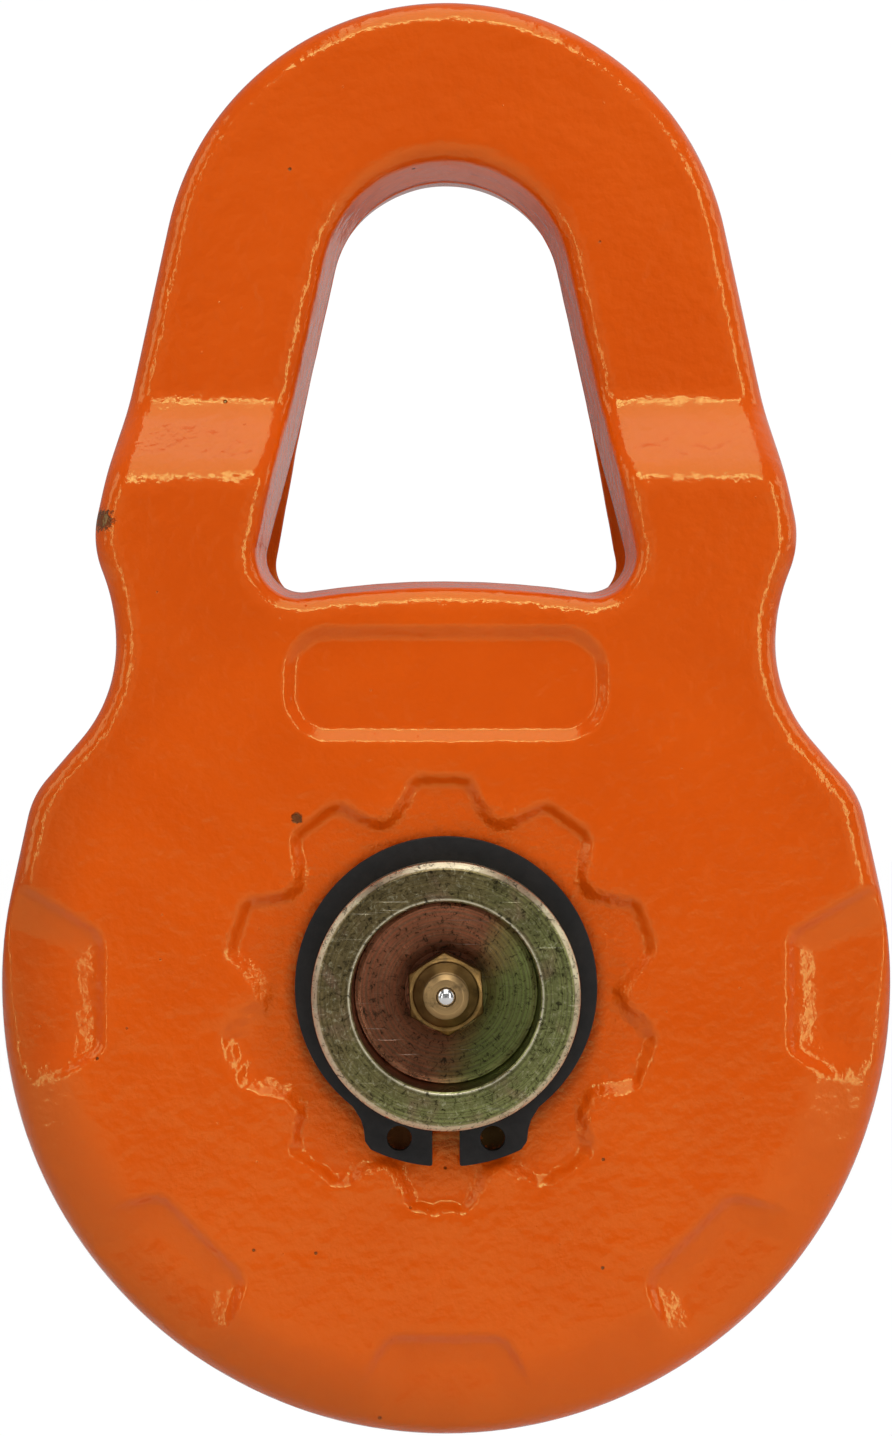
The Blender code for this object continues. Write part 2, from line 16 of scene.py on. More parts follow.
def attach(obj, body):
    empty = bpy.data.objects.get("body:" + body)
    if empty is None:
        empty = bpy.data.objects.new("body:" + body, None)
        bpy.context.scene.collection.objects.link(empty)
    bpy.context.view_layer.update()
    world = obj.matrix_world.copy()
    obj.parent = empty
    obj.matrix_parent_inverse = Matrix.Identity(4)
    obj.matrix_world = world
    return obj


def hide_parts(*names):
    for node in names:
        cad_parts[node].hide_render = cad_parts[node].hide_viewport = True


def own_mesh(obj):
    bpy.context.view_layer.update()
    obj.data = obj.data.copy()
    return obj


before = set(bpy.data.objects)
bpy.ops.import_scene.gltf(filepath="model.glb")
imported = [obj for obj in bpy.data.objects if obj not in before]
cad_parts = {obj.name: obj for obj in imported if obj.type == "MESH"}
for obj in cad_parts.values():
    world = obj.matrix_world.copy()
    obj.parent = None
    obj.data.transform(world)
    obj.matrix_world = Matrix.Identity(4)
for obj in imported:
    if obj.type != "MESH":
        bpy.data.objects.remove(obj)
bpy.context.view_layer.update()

# Cheek outline: the circles it runs along, each as x, y and radius. A hollow has a negative radius.
EYE_Y = 0.1078
EYE_R = 0.0439
SHOULDER = (0.0386, 0.0690, 0.0145)
NOTCH_UPPER = (0.0795, 0.0525, -0.0296)
NOTCH_LOWER = (0.0719, 0.0525, -0.0220)
CORNER = (0.0506, 0.0236, 0.0130)
DISC_R = 0.0675
ARC_STEP = math.radians(2.0)
GRID_HALF = 0.070
GRID_TOP = 0.153

# Eye opening: an arch over two feet and a bowed sill.
ARCH_R = 0.0179
FOOT = (0.02195, 0.0661, 0.0055)
SILL_R = 0.1370
SILL_TOP_Y = 0.0623
OPENING_DRAFT = 0.0012
OPENING_FILLET = 0.0028
OPENING_FLARE = 0.0038

# Cheek section.
CHEEK_INNER_Z = 0.0140
CHEEK_T = 0.0100
CHEEK_OUTER_Z = CHEEK_INNER_Z + CHEEK_T
EYE_GAP = 0.00015
EYE_OUTER_Z = 0.0140 + EYE_GAP
FRONT_BEND = (0.0781, 0.0892)
BACK_BEND = (0.0670, 0.0870)
BEND_BLEND = 0.0030
LEG_FILLET = 0.0042
RIM_START = 0.0110
RIM_SLOPE = math.radians(18.0)
RIM_SOFT = 0.0015
RIM_FILLET = 0.0046
RIM_FLAT_STEPS = 12
RIM_ROUND_STEPS = 14
RIM_BLEND = (-0.0060, 0.0165)
BACK_ROUND = 0.0008
MOVING_BORE_R = 0.02015
FIXED_BORE_R = 0.02005

# Recesses of the cheek's face.
FIELD_HALF_X = 0.0245
FIELD_Y = (0.0378, 0.0552)
FIELD_CORNER_R = 0.0070
FIELD_DEPTH = 0.0015
FIELD_DRAFT = 0.0019
GEAR_MIDDLE = (-0.0007, -0.0002)
TEETH = 10
TOOTH_TIP = (0.0324, 0.0039, 0.0020)
TOOTH_VALLEY = (0.0257, 0.0033)
GEAR_DEPTH = 0.0019
GEAR_CORE = 0.0016
GEAR_EASE = (0.00035, 0.0020, 0.0008)
POCKET_ANGLES = (180, 225, 270, 315, 0)
POCKET_INNER = (0.0513, 0.0090)
POCKET_MOUTH = (0.0720, 0.0217)
POCKET_FLOOR_INNER = (0.0562, 0.0065)
POCKET_FLOOR_MOUTH = (0.0720, 0.0130)
POCKET_DEPTH = 0.0028
POCKET_LIP = (0.0011, 0.24)

# Pin and circlips.
PIN_R = 0.0200
PIN_END = 0.0310
PIN_CHAMFER = 0.0011
WELL_MOUTH_R = 0.0144
WELL_R = 0.0141
WELL_FLOOR_R = 0.0130
WELL_FLOOR = PIN_END - 0.0100
WELL_DISH = 0.0012
THREAD_BORE_R = 0.0046
THREAD_BORE_END = 0.0120
GROOVE_R = 0.01875
GROOVE_Z = (0.02265, 0.02455)
RING_T = 0.00175
RING_Z = 0.0236
RING_INNER_R = 0.01885
RING_OUTER_R = 0.0227
RING_SHIFT = 0.0009
LUG_GAP_HALF = 0.00205
LUG_END_R = 0.0260
LUG_END_HALF = 0.0113
LUG_SIDE = ((0.01215, -0.0222), (0.01235, -0.0204), (0.01275, -0.0190))
LUG_HOLE = (0.0070, -0.0217, 0.00185)

# Sheave, bush, washers and grease nipple.
SHEAVE_R = 0.0600
SHEAVE_HALF = 0.01245
ROPE_R = 0.0065
GROOVE_BOTTOM_R = 0.0460
GROOVE_MOUTH_HALF = 0.0096
SHEAVE_BORE_R = 0.0241
HUB_R = 0.0300
WEB_HALF = 0.0085
WEB_OUTER_R = 0.0404
BUSH_R = (0.02006, 0.02405)
BUSH_HALF = 0.0123
WASHER_R = (0.0203, 0.0290)
WASHER_Z = (0.0126, 0.01385)
HEX_FLATS = 0.0110
HEX_Z = (0.02095, 0.0259)
HEX_TURN = math.radians(3.0)
NIPPLE_TIP = 0.0310
NIPPLE_CONE_R = 0.0051
NIPPLE_NECK_R = 0.00245
NIPPLE_HEAD_R = 0.0034
NIPPLE_SIDES = 144
STEM_R = 0.0044
STEM_END = 0.0136
CHANNEL_R = 0.00175
MOUTH_R = 0.0014
BALL_R = 0.0016
BALL_Z = 0.0299
SPRING_Z = (0.01855, 0.0278)
SPRING_R = 0.0013
SPRING_WIRE_R = 0.0002
SPRING_TURNS = 7

# Marks on the front cheek, as x, y and radius.
SHOULDER_CHIP = (-0.0516, 0.0712, 0.0016)
TOOTH_CHIP = (-0.0224, 0.0263, 0.0009)

# Camera.
CAMERA_FROM_PIN = (0.0, -0.517, 0.04135)
CAMERA_LENS = 82.3
WHITE = (1.0, 1.0, 1.0, 1.0)


# ---- outlines

def arc(x, y, radius, start, stop, count):
    """Points on a circle, with the angles counted from +X in radians."""
    angles = [start + (stop - start) * k / count for k in range(count + 1)]
    return [(x + radius * math.cos(a), y + radius * math.sin(a)) for a in angles]


def tangent_normal(first, second):
    """The angle of the outward normal on the line that touches two circles of a chain."""
    dx = first[0] - second[0]
    dy = first[1] - second[1]
    share = (second[2] - first[2]) / math.hypot(dx, dy)
    return math.atan2(dy, dx) - math.acos(max(-1.0, min(1.0, share)))


def chain(circles, start, stop):
    """Points along circles joined by the lines that touch both, from one normal angle to another."""
    ends = [start]
    ends += [tangent_normal(first, second) for first, second in zip(circles, circles[1:])]
    ends.append(stop)
    found = []
    for (x, y, radius), low, high in zip(circles, ends, ends[1:]):
        count = max(2, math.ceil(abs(high - low) / ARC_STEP))
        found += arc(x, y, radius, low, high, count)
    return found


def mirrored(half):
    """A right half that runs from the top to the bottom, with the left half that closes it."""
    return half + [(-x, y) for x, y in reversed(half[1:-1])]


def rounded(corners, radii, steps=8):
    """A closed polygon with each corner an arc of its radius."""
    made = []
    for k, radius in enumerate(radii):
        made += corner_arc(corners[k - 1], corners[k], corners[(k + 1) % len(corners)], radius, steps)
    return made


def corner_arc(before, at, after, radius, steps):
    corner = Vector(at)
    first = Vector(before) - corner
    second = Vector(after) - corner
    half = first.angle(second) / 2.0
    if radius <= 0.0 or half > 1.56:
        return [tuple(corner)]
    reach = min(radius / math.tan(half), first.length * 0.49, second.length * 0.49)
    out = (first.normalized() + second.normalized()).normalized()
    middle = corner + out * (reach / math.cos(half))
    low = corner + first.normalized() * reach - middle
    high = corner + second.normalized() * reach - middle
    sweep = math.atan2(low.cross(high), low.dot(high))
    turns = [Matrix.Rotation(sweep * k / steps, 2) for k in range(steps + 1)]
    return [tuple(middle + turn @ low) for turn in turns]


def evenly(points, spacing):
    """A closed outline as evenly spaced points, anticlockwise, with their outward normals."""
    line = np.array(points)
    gaps = np.hypot(*(np.roll(line, -1, axis=0) - line).T)
    line = line[gaps > 0.000002]
    x, y = line.T
    if np.sum(x * np.roll(y, -1) - y * np.roll(x, -1)) < 0.0:
        line = line[::-1]
    ring = np.vstack([line, line[:1]])
    along = np.concatenate([[0.0], np.cumsum(np.hypot(*np.diff(ring, axis=0).T))])
    count = max(8, round(along[-1] / spacing))
    places = np.linspace(0.0, along[-1], count, endpoint=False)
    even = np.column_stack([np.interp(places, along, ring[:, k]) for k in (0, 1)])
    run = np.roll(even, -1, axis=0) - np.roll(even, 1, axis=0)
    run /= np.linalg.norm(run, axis=1)[:, None]
    return even, np.column_stack([run[:, 1], -run[:, 0]])


def cheek_outline(spacing):
    circles = [(0.0, EYE_Y, EYE_R), SHOULDER, NOTCH_UPPER, NOTCH_LOWER, CORNER, (0.0, 0.0, DISC_R)]
    return evenly(mirrored(chain(circles, math.pi / 2, -math.pi / 2)), spacing)


def opening_outline(spacing):
    sill_middle = SILL_TOP_Y - SILL_R
    lean = math.atan2(FOOT[0], FOOT[1] - sill_middle)
    half = chain([(0.0, EYE_Y, ARCH_R), FOOT], math.pi / 2, -math.pi / 2 - lean)
    half += arc(0.0, sill_middle, SILL_R, math.pi / 2 - lean, math.pi / 2, 12)[1:]
    return evenly(mirrored(half), spacing)


def gear_outline(spacing):
    """The middle of the toothed recess's wall."""
    radius, half, tip_round = TOOTH_TIP
    out = math.sqrt(radius**2 - half**2)
    valley_r, valley_round = TOOTH_VALLEY
    valley = Matrix.Rotation(-math.pi / TEETH, 2) @ Vector((0.0, valley_r))
    corners = []
    for k in range(TEETH):
        turn = Matrix.Rotation(-math.tau * k / TEETH, 2)
        for corner in (Vector((-half, out)), Vector((half, out)), valley):
            corners.append(tuple(turn @ corner + Vector(GEAR_MIDDLE)))
    return evenly(rounded(corners, [tip_round, tip_round, valley_round] * TEETH), spacing)


def field_outline(spacing):
    low, high = FIELD_Y
    side = FIELD_HALF_X
    corners = [(side, low), (side, high), (-side, high), (-side, low)]
    return evenly(rounded(corners, [FIELD_CORNER_R] * 4, 12), spacing)


def circle_outline(radius, count):
    return np.array(arc(0.0, 0.0, radius, 0.0, math.tau, count)[:-1])


# ---- shapes from outlines

def ramp(value, low, high, blend):
    """0 below low, 1 above high, straight between them, with both ends blended."""
    slope = 1.0 / (high - low)
    rising = np.clip(value - low + blend, 0.0, 2.0 * blend) ** 2 * slope / (4.0 * blend)
    middle = np.clip(value - low - blend, 0.0, high - low - 2.0 * blend) * slope
    last = np.clip(high + blend - value, 0.0, 2.0 * blend)
    falling = (4.0 * blend**2 - last**2) * slope / (4.0 * blend)
    return rising + middle + falling


def smooth_step(value, low, high):
    share = np.clip((value - low) / (high - low), 0.0, 1.0)
    return share * share * (3.0 - 2.0 * share)


def signed_distance(places, outline):
    """The distance from each place to a closed outline, negative inside it."""
    x, y = places.T
    nearest = np.full(len(places), np.inf)
    inside = np.zeros(len(places), bool)
    for start, end in zip(outline, np.roll(outline, -1, axis=0)):
        run = end - start
        from_start = places - start
        share = np.clip(from_start @ run / (run @ run), 0.0, 1.0)
        gap = from_start - share[:, None] * run
        nearest = np.minimum(nearest, np.einsum("ij,ij->i", gap, gap))
        if start[1] != end[1]:
            level = (start[1] > y) != (end[1] > y)
            inside ^= level & (x < run[0] * (y - start[1]) / run[1] + start[0])
    return np.sqrt(nearest) * np.where(inside, -1.0, 1.0)


def honeycomb(spacing):
    """A grid of points over the cheek in rows, each row half a step aside."""
    rows = np.arange(-GRID_HALF, GRID_TOP, spacing * 0.866)
    columns = np.arange(-GRID_HALF, GRID_HALF, spacing)
    x = columns[None, :] + (np.arange(len(rows)) % 2)[:, None] * spacing / 2.0
    y = np.repeat(rows[:, None], len(columns), axis=1)
    return np.column_stack([x.ravel(), y.ravel()])


def unevenness(places, size, height, seed):
    """Smooth random heights, with bumps of about that size."""
    shift = Vector((seed * 7.31, seed * 3.17, seed * 5.03))
    return np.array([height * noise.noise(Vector(p).to_3d() / size + shift) for p in places])


def flat_z(places, z):
    return np.column_stack([places, np.full(len(places), z)])


class Shell:
    """The vertices and faces of one closed surface."""

    def __init__(self):
        self.places = []
        self.faces = []

    def ring(self, points):
        start = len(self.places)
        self.places += [tuple(point) for point in points]
        return list(range(start, len(self.places)))

    def strip(self, low, high):
        """Faces between two anticlockwise rings. They face outwards when high lies over low."""
        count = len(low)
        for k in range(count):
            after = (k + 1) % count
            self.faces.append((low[k], low[after], high[after], high[k]))

    def strips(self, rings):
        for low, high in zip(rings, rings[1:]):
            self.strip(low, high)

    def fill(self, rings, inside, upwards):
        """Triangles that fill the first ring apart from the others, through the points inside."""
        ids = [k for ring in rings for k in ring] + self.ring(inside)
        outlines = []
        first = 0
        for ring in rings:
            outlines.append(list(range(first, first + len(ring))))
            first += len(ring)
        flat = [Vector(self.places[k][:2]) * 1000.0 for k in ids]
        found = delaunay_2d_cdt(flat, [], outlines, 1, 0.000001, True)
        _, _, faces, origins, _, outlines_of = found
        for face, within in zip(faces, outlines_of):
            if list(within) == [0]:
                corners = [ids[origins[k][0]] for k in face]
                self.faces.append(tuple(corners if upwards else reversed(corners)))

    def mesh(self):
        made = bpy.data.meshes.new("fine")
        made.from_pydata(self.places, [], self.faces)
        made.validate()
        bm = bmesh.new()
        bm.from_mesh(made)
        bmesh.ops.remove_doubles(bm, verts=bm.verts, dist=0.0000002)
        loose = [v for v in bm.verts if not v.link_faces]
        bmesh.ops.delete(bm, geom=loose, context="VERTS")
        bmesh.ops.recalc_face_normals(bm, faces=bm.faces)
        bm.to_mesh(made)
        bm.free()
        made.shade_smooth()
        return made


# ---- cheek

GEAR, _ = gear_outline(0.0005)
FIELD, _ = field_outline(0.0005)


def pocket_drop(places):
    """How far the five rim pockets lie under the face, before the rim rolls off."""
    deepest = np.zeros(len(places))
    run_edge = np.subtract(POCKET_MOUTH, POCKET_INNER)
    run_floor = np.subtract(POCKET_FLOOR_MOUTH, POCKET_FLOOR_INNER)
    edge_normal = np.array([run_edge[1], -run_edge[0]]) / np.hypot(*run_edge)
    floor_normal = np.array([run_floor[1], -run_floor[0]]) / np.hypot(*run_floor)
    for degrees in POCKET_ANGLES:
        a = math.radians(degrees)
        along = places @ np.array([math.cos(a), math.sin(a)])
        across = np.abs(places @ np.array([-math.sin(a), math.cos(a)]))
        here = np.column_stack([along, across])
        past_edge = (here - POCKET_INNER) @ edge_normal
        short_of_floor = (POCKET_FLOOR_INNER - here) @ floor_normal
        side = past_edge / np.maximum(past_edge + short_of_floor, 0.0005)
        inner = (along - POCKET_INNER[0]) / (POCKET_FLOOR_INNER[0] - POCKET_INNER[0])
        share = lower_of(np.clip(inner, -0.5, 1.8), np.clip(side, -0.5, 1.8), 0.35)
        share = np.where(along > 0.03, share, -0.5)
        lip_depth, lip_share = POCKET_LIP
        drop = lip_depth * ramp(share, 0.0, lip_share, 0.08)
        drop += (POCKET_DEPTH - lip_depth) * ramp(share, 0.02, 1.0, 0.16)
        deepest = np.maximum(deepest, drop)
    return deepest


def lower_of(first, second, blend):
    """The lower of two values, blended where they are close."""
    close = np.clip(blend - np.abs(first - second), 0.0, None)
    return np.minimum(first, second) - close**2 / (4.0 * blend)


def deeper_of(roll, pocket):
    """A pocket's floor running out through the rolled rim."""
    blend = np.clip(2.0 * np.minimum(roll, pocket), 0.000001, 0.0009)
    close = np.clip(blend - np.abs(roll - pocket), 0.0, None)
    return np.maximum(roll, pocket) + close**2 / (4.0 * blend)


def recess_drop(places):
    """How far the name field and the toothed recess lie under the face."""
    from_gear = signed_distance(places, GEAR)
    from_field = signed_distance(places, FIELD)
    height = places[:, 1]
    soft_part = np.exp(-(((height + 0.0045) / 0.0090) ** 2))
    half = GEAR_CORE / 2.0 + np.where(places[:, 0] < 0.0, 0.0009, 0.00020) * soft_part
    ease_depth, ease_half, ease_blend = GEAR_EASE
    gear = (GEAR_DEPTH - ease_depth) * ramp(-from_gear, -half, half, 0.75 * half)
    gear += ease_depth * ramp(-from_gear, -ease_half, ease_half, ease_blend)
    field = FIELD_DEPTH * ramp(-from_field, 0.0, FIELD_DRAFT, 0.00045)
    rough_part = 0.15 + 0.85 * smooth_step(-height, -0.008, 0.006)
    lumps = unevenness(places, 0.0015, 0.00030, 3) + unevenness(places, 0.0034, 0.00034, 4)
    lumps *= np.exp(-((from_gear / 0.0019) ** 2)) * rough_part
    inside = smooth_step(-from_gear, 0.0, 0.002)
    return gear + field + lumps + unevenness(places, 0.0035, 0.00003, 5) * inside


def face_points(outer, lip, bore_r):
    """Points of the outer face: lines along the recess walls, and a grid that is finer near detail."""
    walls = []
    for outline, offsets in (
        (gear_outline(0.00042), np.arange(-0.00190, 0.00191, 0.00019)),
        (field_outline(0.00050), np.arange(-0.00265, 0.00071, 0.00024)),
    ):
        edge, normal = outline
        walls += [edge + normal * offset for offset in offsets]
    coarse = honeycomb(0.00130)
    fine = honeycomb(0.00075)
    from_gear = signed_distance(coarse, GEAR)
    from_field = signed_distance(coarse, FIELD)
    off_gear = np.abs(from_gear) > 0.0022
    off_field = (from_field > 0.0013) | (from_field < -0.0033)
    coarse = coarse[off_gear & off_field]
    radius = np.hypot(*fine.T)
    low, high = FRONT_BEND
    in_bend = (fine[:, 1] > low - 0.004) & (fine[:, 1] < high + 0.004)
    in_pockets = (radius > 0.0495) & (fine[:, 1] < 0.024)
    in_gear = (radius < 0.026) | (signed_distance(fine, GEAR) < -0.0019)
    fine = fine[in_bend | in_pockets | in_gear]
    radius = np.hypot(*coarse.T)
    in_bend = (coarse[:, 1] > low - 0.0045) & (coarse[:, 1] < high + 0.0045)
    in_pockets = (radius > 0.0490) & (coarse[:, 1] < 0.0245)
    coarse = coarse[~(in_bend | in_pockets | (radius < 0.030))]
    found = np.vstack(walls + [coarse, fine])
    keep = signed_distance(found, outer) < -0.00035
    keep &= signed_distance(found, lip) > 0.00035
    keep &= np.hypot(*found.T) > bore_r + 0.0008
    return found[keep]


def bent(places):
    """The flat plate's points brought in above the sheave, so that the two halves of the eye meet."""
    depth = (CHEEK_OUTER_Z - places[:, 2]) / CHEEK_T
    share = np.clip((depth - 0.35) / 0.65, 0.0, 1.0)
    outer = (CHEEK_OUTER_Z - EYE_OUTER_Z) * ramp(places[:, 1], *FRONT_BEND, BEND_BLEND)
    inner = (CHEEK_INNER_Z - EYE_GAP) * ramp(places[:, 1], *BACK_BEND, BEND_BLEND)
    z = places[:, 2] - outer * (1.0 - share) - inner * share
    return np.column_stack([places[:, :2], z])


def disc_section():
    """The disc's rim as (inward, drop) pairs: a gentle cone that ends in a fillet."""
    slope = math.tan(RIM_SLOPE)
    fillet_in = RIM_FILLET * (1.0 - math.sin(RIM_SLOPE))
    first = RIM_START + RIM_SOFT
    found = []
    for k in range(RIM_FLAT_STEPS):
        inward = first + (fillet_in - first) * k / RIM_FLAT_STEPS
        past = first - inward
        in_blend = min(past, 2.0 * RIM_SOFT)
        found.append((inward, slope * (in_blend**2 / (4.0 * RIM_SOFT) + past - in_blend)))
    cone_drop = slope * (RIM_START - fillet_in)
    for k in range(RIM_ROUND_STEPS + 1):
        turn = RIM_SLOPE + (math.pi / 2 - RIM_SLOPE) * k / RIM_ROUND_STEPS
        drop = cone_drop + RIM_FILLET * (math.cos(RIM_SLOPE) - math.cos(turn))
        found.append((RIM_FILLET * (1.0 - math.sin(turn)), drop))
    return found


def leg_section():
    """The legs' edge as (inward, drop) pairs: flat, then a plain fillet."""
    found = [(LEG_FILLET + 0.0030 * (1.0 - k / RIM_FLAT_STEPS), 0.0) for k in range(RIM_FLAT_STEPS)]
    for k in range(RIM_ROUND_STEPS + 1):
        turn = math.pi / 2 * k / RIM_ROUND_STEPS
        found.append((LEG_FILLET * (1.0 - math.sin(turn)), LEG_FILLET * (1.0 - math.cos(turn))))
    return found


def rim_rings(shell, edge, normal):
    """Rings from the top of the rolled rim, down the side, and round the back edge."""
    leg = smooth_step(edge[:, 1], *RIM_BLEND)
    rings = []
    for (disc_in, disc_drop), (leg_in, leg_drop) in zip(disc_section(), leg_section()):
        inward = disc_in + (leg_in - disc_in) * leg
        roll = disc_drop + (leg_drop - disc_drop) * leg
        place = edge - normal * inward[:, None]
        drop = deeper_of(roll, pocket_drop(place))
        rings.append(shell.ring(np.column_stack([place, CHEEK_OUTER_Z - drop])))
    top = CHEEK_OUTER_Z - roll
    bottom = CHEEK_INNER_Z + BACK_ROUND
    for share in (0.35, 0.7, 1.0):
        side = top + (bottom - top) * share
        rings.append(shell.ring(np.column_stack([edge, side])))
    for degrees in (30.0, 60.0, 90.0):
        a = math.radians(degrees)
        place = edge - normal * BACK_ROUND * (1.0 - math.cos(a))
        z = np.full(len(edge), bottom - BACK_ROUND * math.sin(a))
        rings.append(shell.ring(np.column_stack([place, z])))
    return rings


def opening_rings(shell, edge, normal):
    """Rings from the inner face up the wall of the eye and over its rounded lip."""
    lip = CHEEK_OUTER_Z - OPENING_FILLET
    low = CHEEK_INNER_Z
    sections = [(low, 0.0004), (low + 0.00012, 0.00012), (low + 0.0004, 0.00003)]
    sections += [(low + (lip - low) * k / 6, OPENING_DRAFT * k / 6) for k in range(1, 7)]
    for degrees in range(10, 91, 10):
        a = math.radians(degrees)
        flare = OPENING_FLARE * (1.0 - math.cos(a))
        sections.append((lip + OPENING_FILLET * math.sin(a), OPENING_DRAFT + flare))
    rings = []
    for z, grow in sections:
        lumpy = unevenness(flat_z(edge, z), 0.0035, 0.00005, 11)
        lumpy *= 0.0 if z in (sections[0][0], sections[-1][0]) else 1.0
        place = edge + normal * (grow + lumpy)[:, None]
        rings.append(shell.ring(flat_z(place, z)))
    return rings


def bore_rings(shell, bore_r):
    low = CHEEK_INNER_Z
    high = CHEEK_OUTER_Z - GEAR_DEPTH
    sections = [(low, 0.0004), (low + 0.0004, 0.0), ((low + high) / 2.0, 0.0)]
    sections += [(high - 0.0004, 0.0), (high, 0.0004)]
    return [shell.ring(flat_z(circle_outline(bore_r + grow, 160), z)) for z, grow in sections]


def cheek_mesh(bore_r, seed):
    """A cheek as one closed surface: made as a flat plate, then bent."""
    shell = Shell()
    edge, normal = cheek_outline(0.00060)
    edge = edge + normal * unevenness(edge, 0.022, 0.00009, seed)[:, None]
    rim = rim_rings(shell, edge, normal)
    hole_edge, hole_normal = opening_outline(0.00055)
    hole = opening_rings(shell, hole_edge, hole_normal)
    bore = bore_rings(shell, bore_r)
    shell.strips(rim)
    shell.strips(hole)
    shell.strips(bore)
    outer = np.array([shell.places[k][:2] for k in rim[0]])
    lip = np.array([shell.places[k][:2] for k in hole[-1]])
    places = face_points(outer, lip, bore_r)
    drop = recess_drop(places) + pocket_drop(places)
    drop += unevenness(places, 0.014, 0.00004, seed + 1)
    fade = smooth_step(-signed_distance(places, outer), 0.0, 0.004)
    fade *= smooth_step(signed_distance(places, lip), 0.0, 0.003)
    bumps = unevenness(places, 0.016, 0.00005, seed + 2) * fade
    inside = np.column_stack([places, CHEEK_OUTER_Z - drop + bumps])
    shell.fill([rim[0], hole[-1], bore[-1]], inside, True)
    back = honeycomb(0.0021)
    back_edge = np.array([shell.places[k][:2] for k in rim[-1]])
    back_hole = np.array([shell.places[k][:2] for k in hole[0]])
    keep = signed_distance(back, back_edge) < -0.0008
    keep &= signed_distance(back, back_hole) > 0.0008
    keep &= np.hypot(*back.T) > bore_r + 0.0012
    shell.fill([rim[-1], hole[0], bore[0]], flat_z(back[keep], CHEEK_INNER_Z), False)
    shell.places = [tuple(p) for p in bent(np.array(shell.places))]
    return shell.mesh()


# ---- turned and stamped pieces

def softened(corners, closed):
    """A profile of (radius, z, rounding) corners as a line of (radius, z) points."""
    count = len(corners)
    made = []
    for k, (radius, z, rounding) in enumerate(corners):
        if not closed and k in (0, count - 1):
            made.append((radius, z))
            continue
        before = corners[k - 1][:2]
        after = corners[(k + 1) % count][:2]
        made += corner_arc(before, (radius, z), after, rounding, 4)
    return made


def turned(corners, closed, count):
    """A profile turned about the pin's axis."""
    line = softened(corners, closed)
    shell = Shell()
    circle = circle_outline(1.0, count)
    rings = [shell.ring(flat_z(circle * radius, z)) for radius, z in line]
    shell.strips(rings + (rings[:1] if closed else []))
    return shell.mesh()


def tube(radii, ends, rounding):
    inner, outer = radii
    low, high = ends
    corners = [(inner, low), (outer, low), (outer, high), (inner, high)]
    return turned([(r, z, rounding) for r, z in corners], True, 160)


def pin_mesh():
    near, far = GROOVE_Z
    well = [
        (0.0, THREAD_BORE_END - 0.010, 0.0),
        (0.0030, THREAD_BORE_END - 0.009, 0.0),
        (0.0030, THREAD_BORE_END, 0.0),
        (THREAD_BORE_R, THREAD_BORE_END + 0.001, 0.0),
        (THREAD_BORE_R, WELL_FLOOR - WELL_DISH, 0.0001),
        (THREAD_BORE_R + 0.0016, WELL_FLOOR - WELL_DISH, 0.0005),
        (WELL_FLOOR_R, WELL_FLOOR, 0.0004),
        (WELL_R - 0.0002, WELL_FLOOR + 0.0005, 0.0004),
        (WELL_R, PIN_END - 0.0003, 0.0001),
        (WELL_MOUTH_R, PIN_END, 0.0001),
    ]
    outside = [
        (PIN_R - PIN_CHAMFER, PIN_END, 0.00025),
        (PIN_R, PIN_END - PIN_CHAMFER, 0.00025),
        (PIN_R, far, 0.0001),
        (GROOVE_R, far, 0.0001),
        (GROOVE_R, near, 0.0001),
        (PIN_R, near, 0.0001),
    ]
    lower = [(r, -z, rounding) for r, z, rounding in reversed(outside)]
    centre_mark = [(0.0016, -PIN_END, 0.0001), (0.0, -PIN_END + 0.0010, 0.0)]
    return turned(well + outside + lower + centre_mark, False, 240)


def sheave_mesh():
    corners = [
        (SHEAVE_BORE_R, SHEAVE_HALF, 0.0005),
        (HUB_R, SHEAVE_HALF, 0.0006),
        (HUB_R + 0.0016, WEB_HALF, 0.0014),
        (WEB_OUTER_R, WEB_HALF, 0.0014),
        (WEB_OUTER_R + 0.0022, SHEAVE_HALF, 0.0006),
        (SHEAVE_R, SHEAVE_HALF, 0.0008),
        (SHEAVE_R, GROOVE_MOUTH_HALF, 0.0008),
    ]
    seat = arc(GROOVE_BOTTOM_R + ROPE_R, 0.0, ROPE_R, math.radians(108.0), math.pi, 12)
    half = corners + [(r, z, 0.0) for r, z in seat]
    profile = half + [(r, -z, rounding) for r, z, rounding in reversed(half[:-1])]
    return turned(profile, True, 200)


def hexagon_radius(angle, limit):
    """The distance to the hexagon's edge at an angle, no further than the chamfer's limit."""
    side = (angle - HEX_TURN - math.pi / 2.0) % (math.pi / 3.0)
    return min(limit, HEX_FLATS / 2.0 / math.cos(side - math.pi / 6.0))


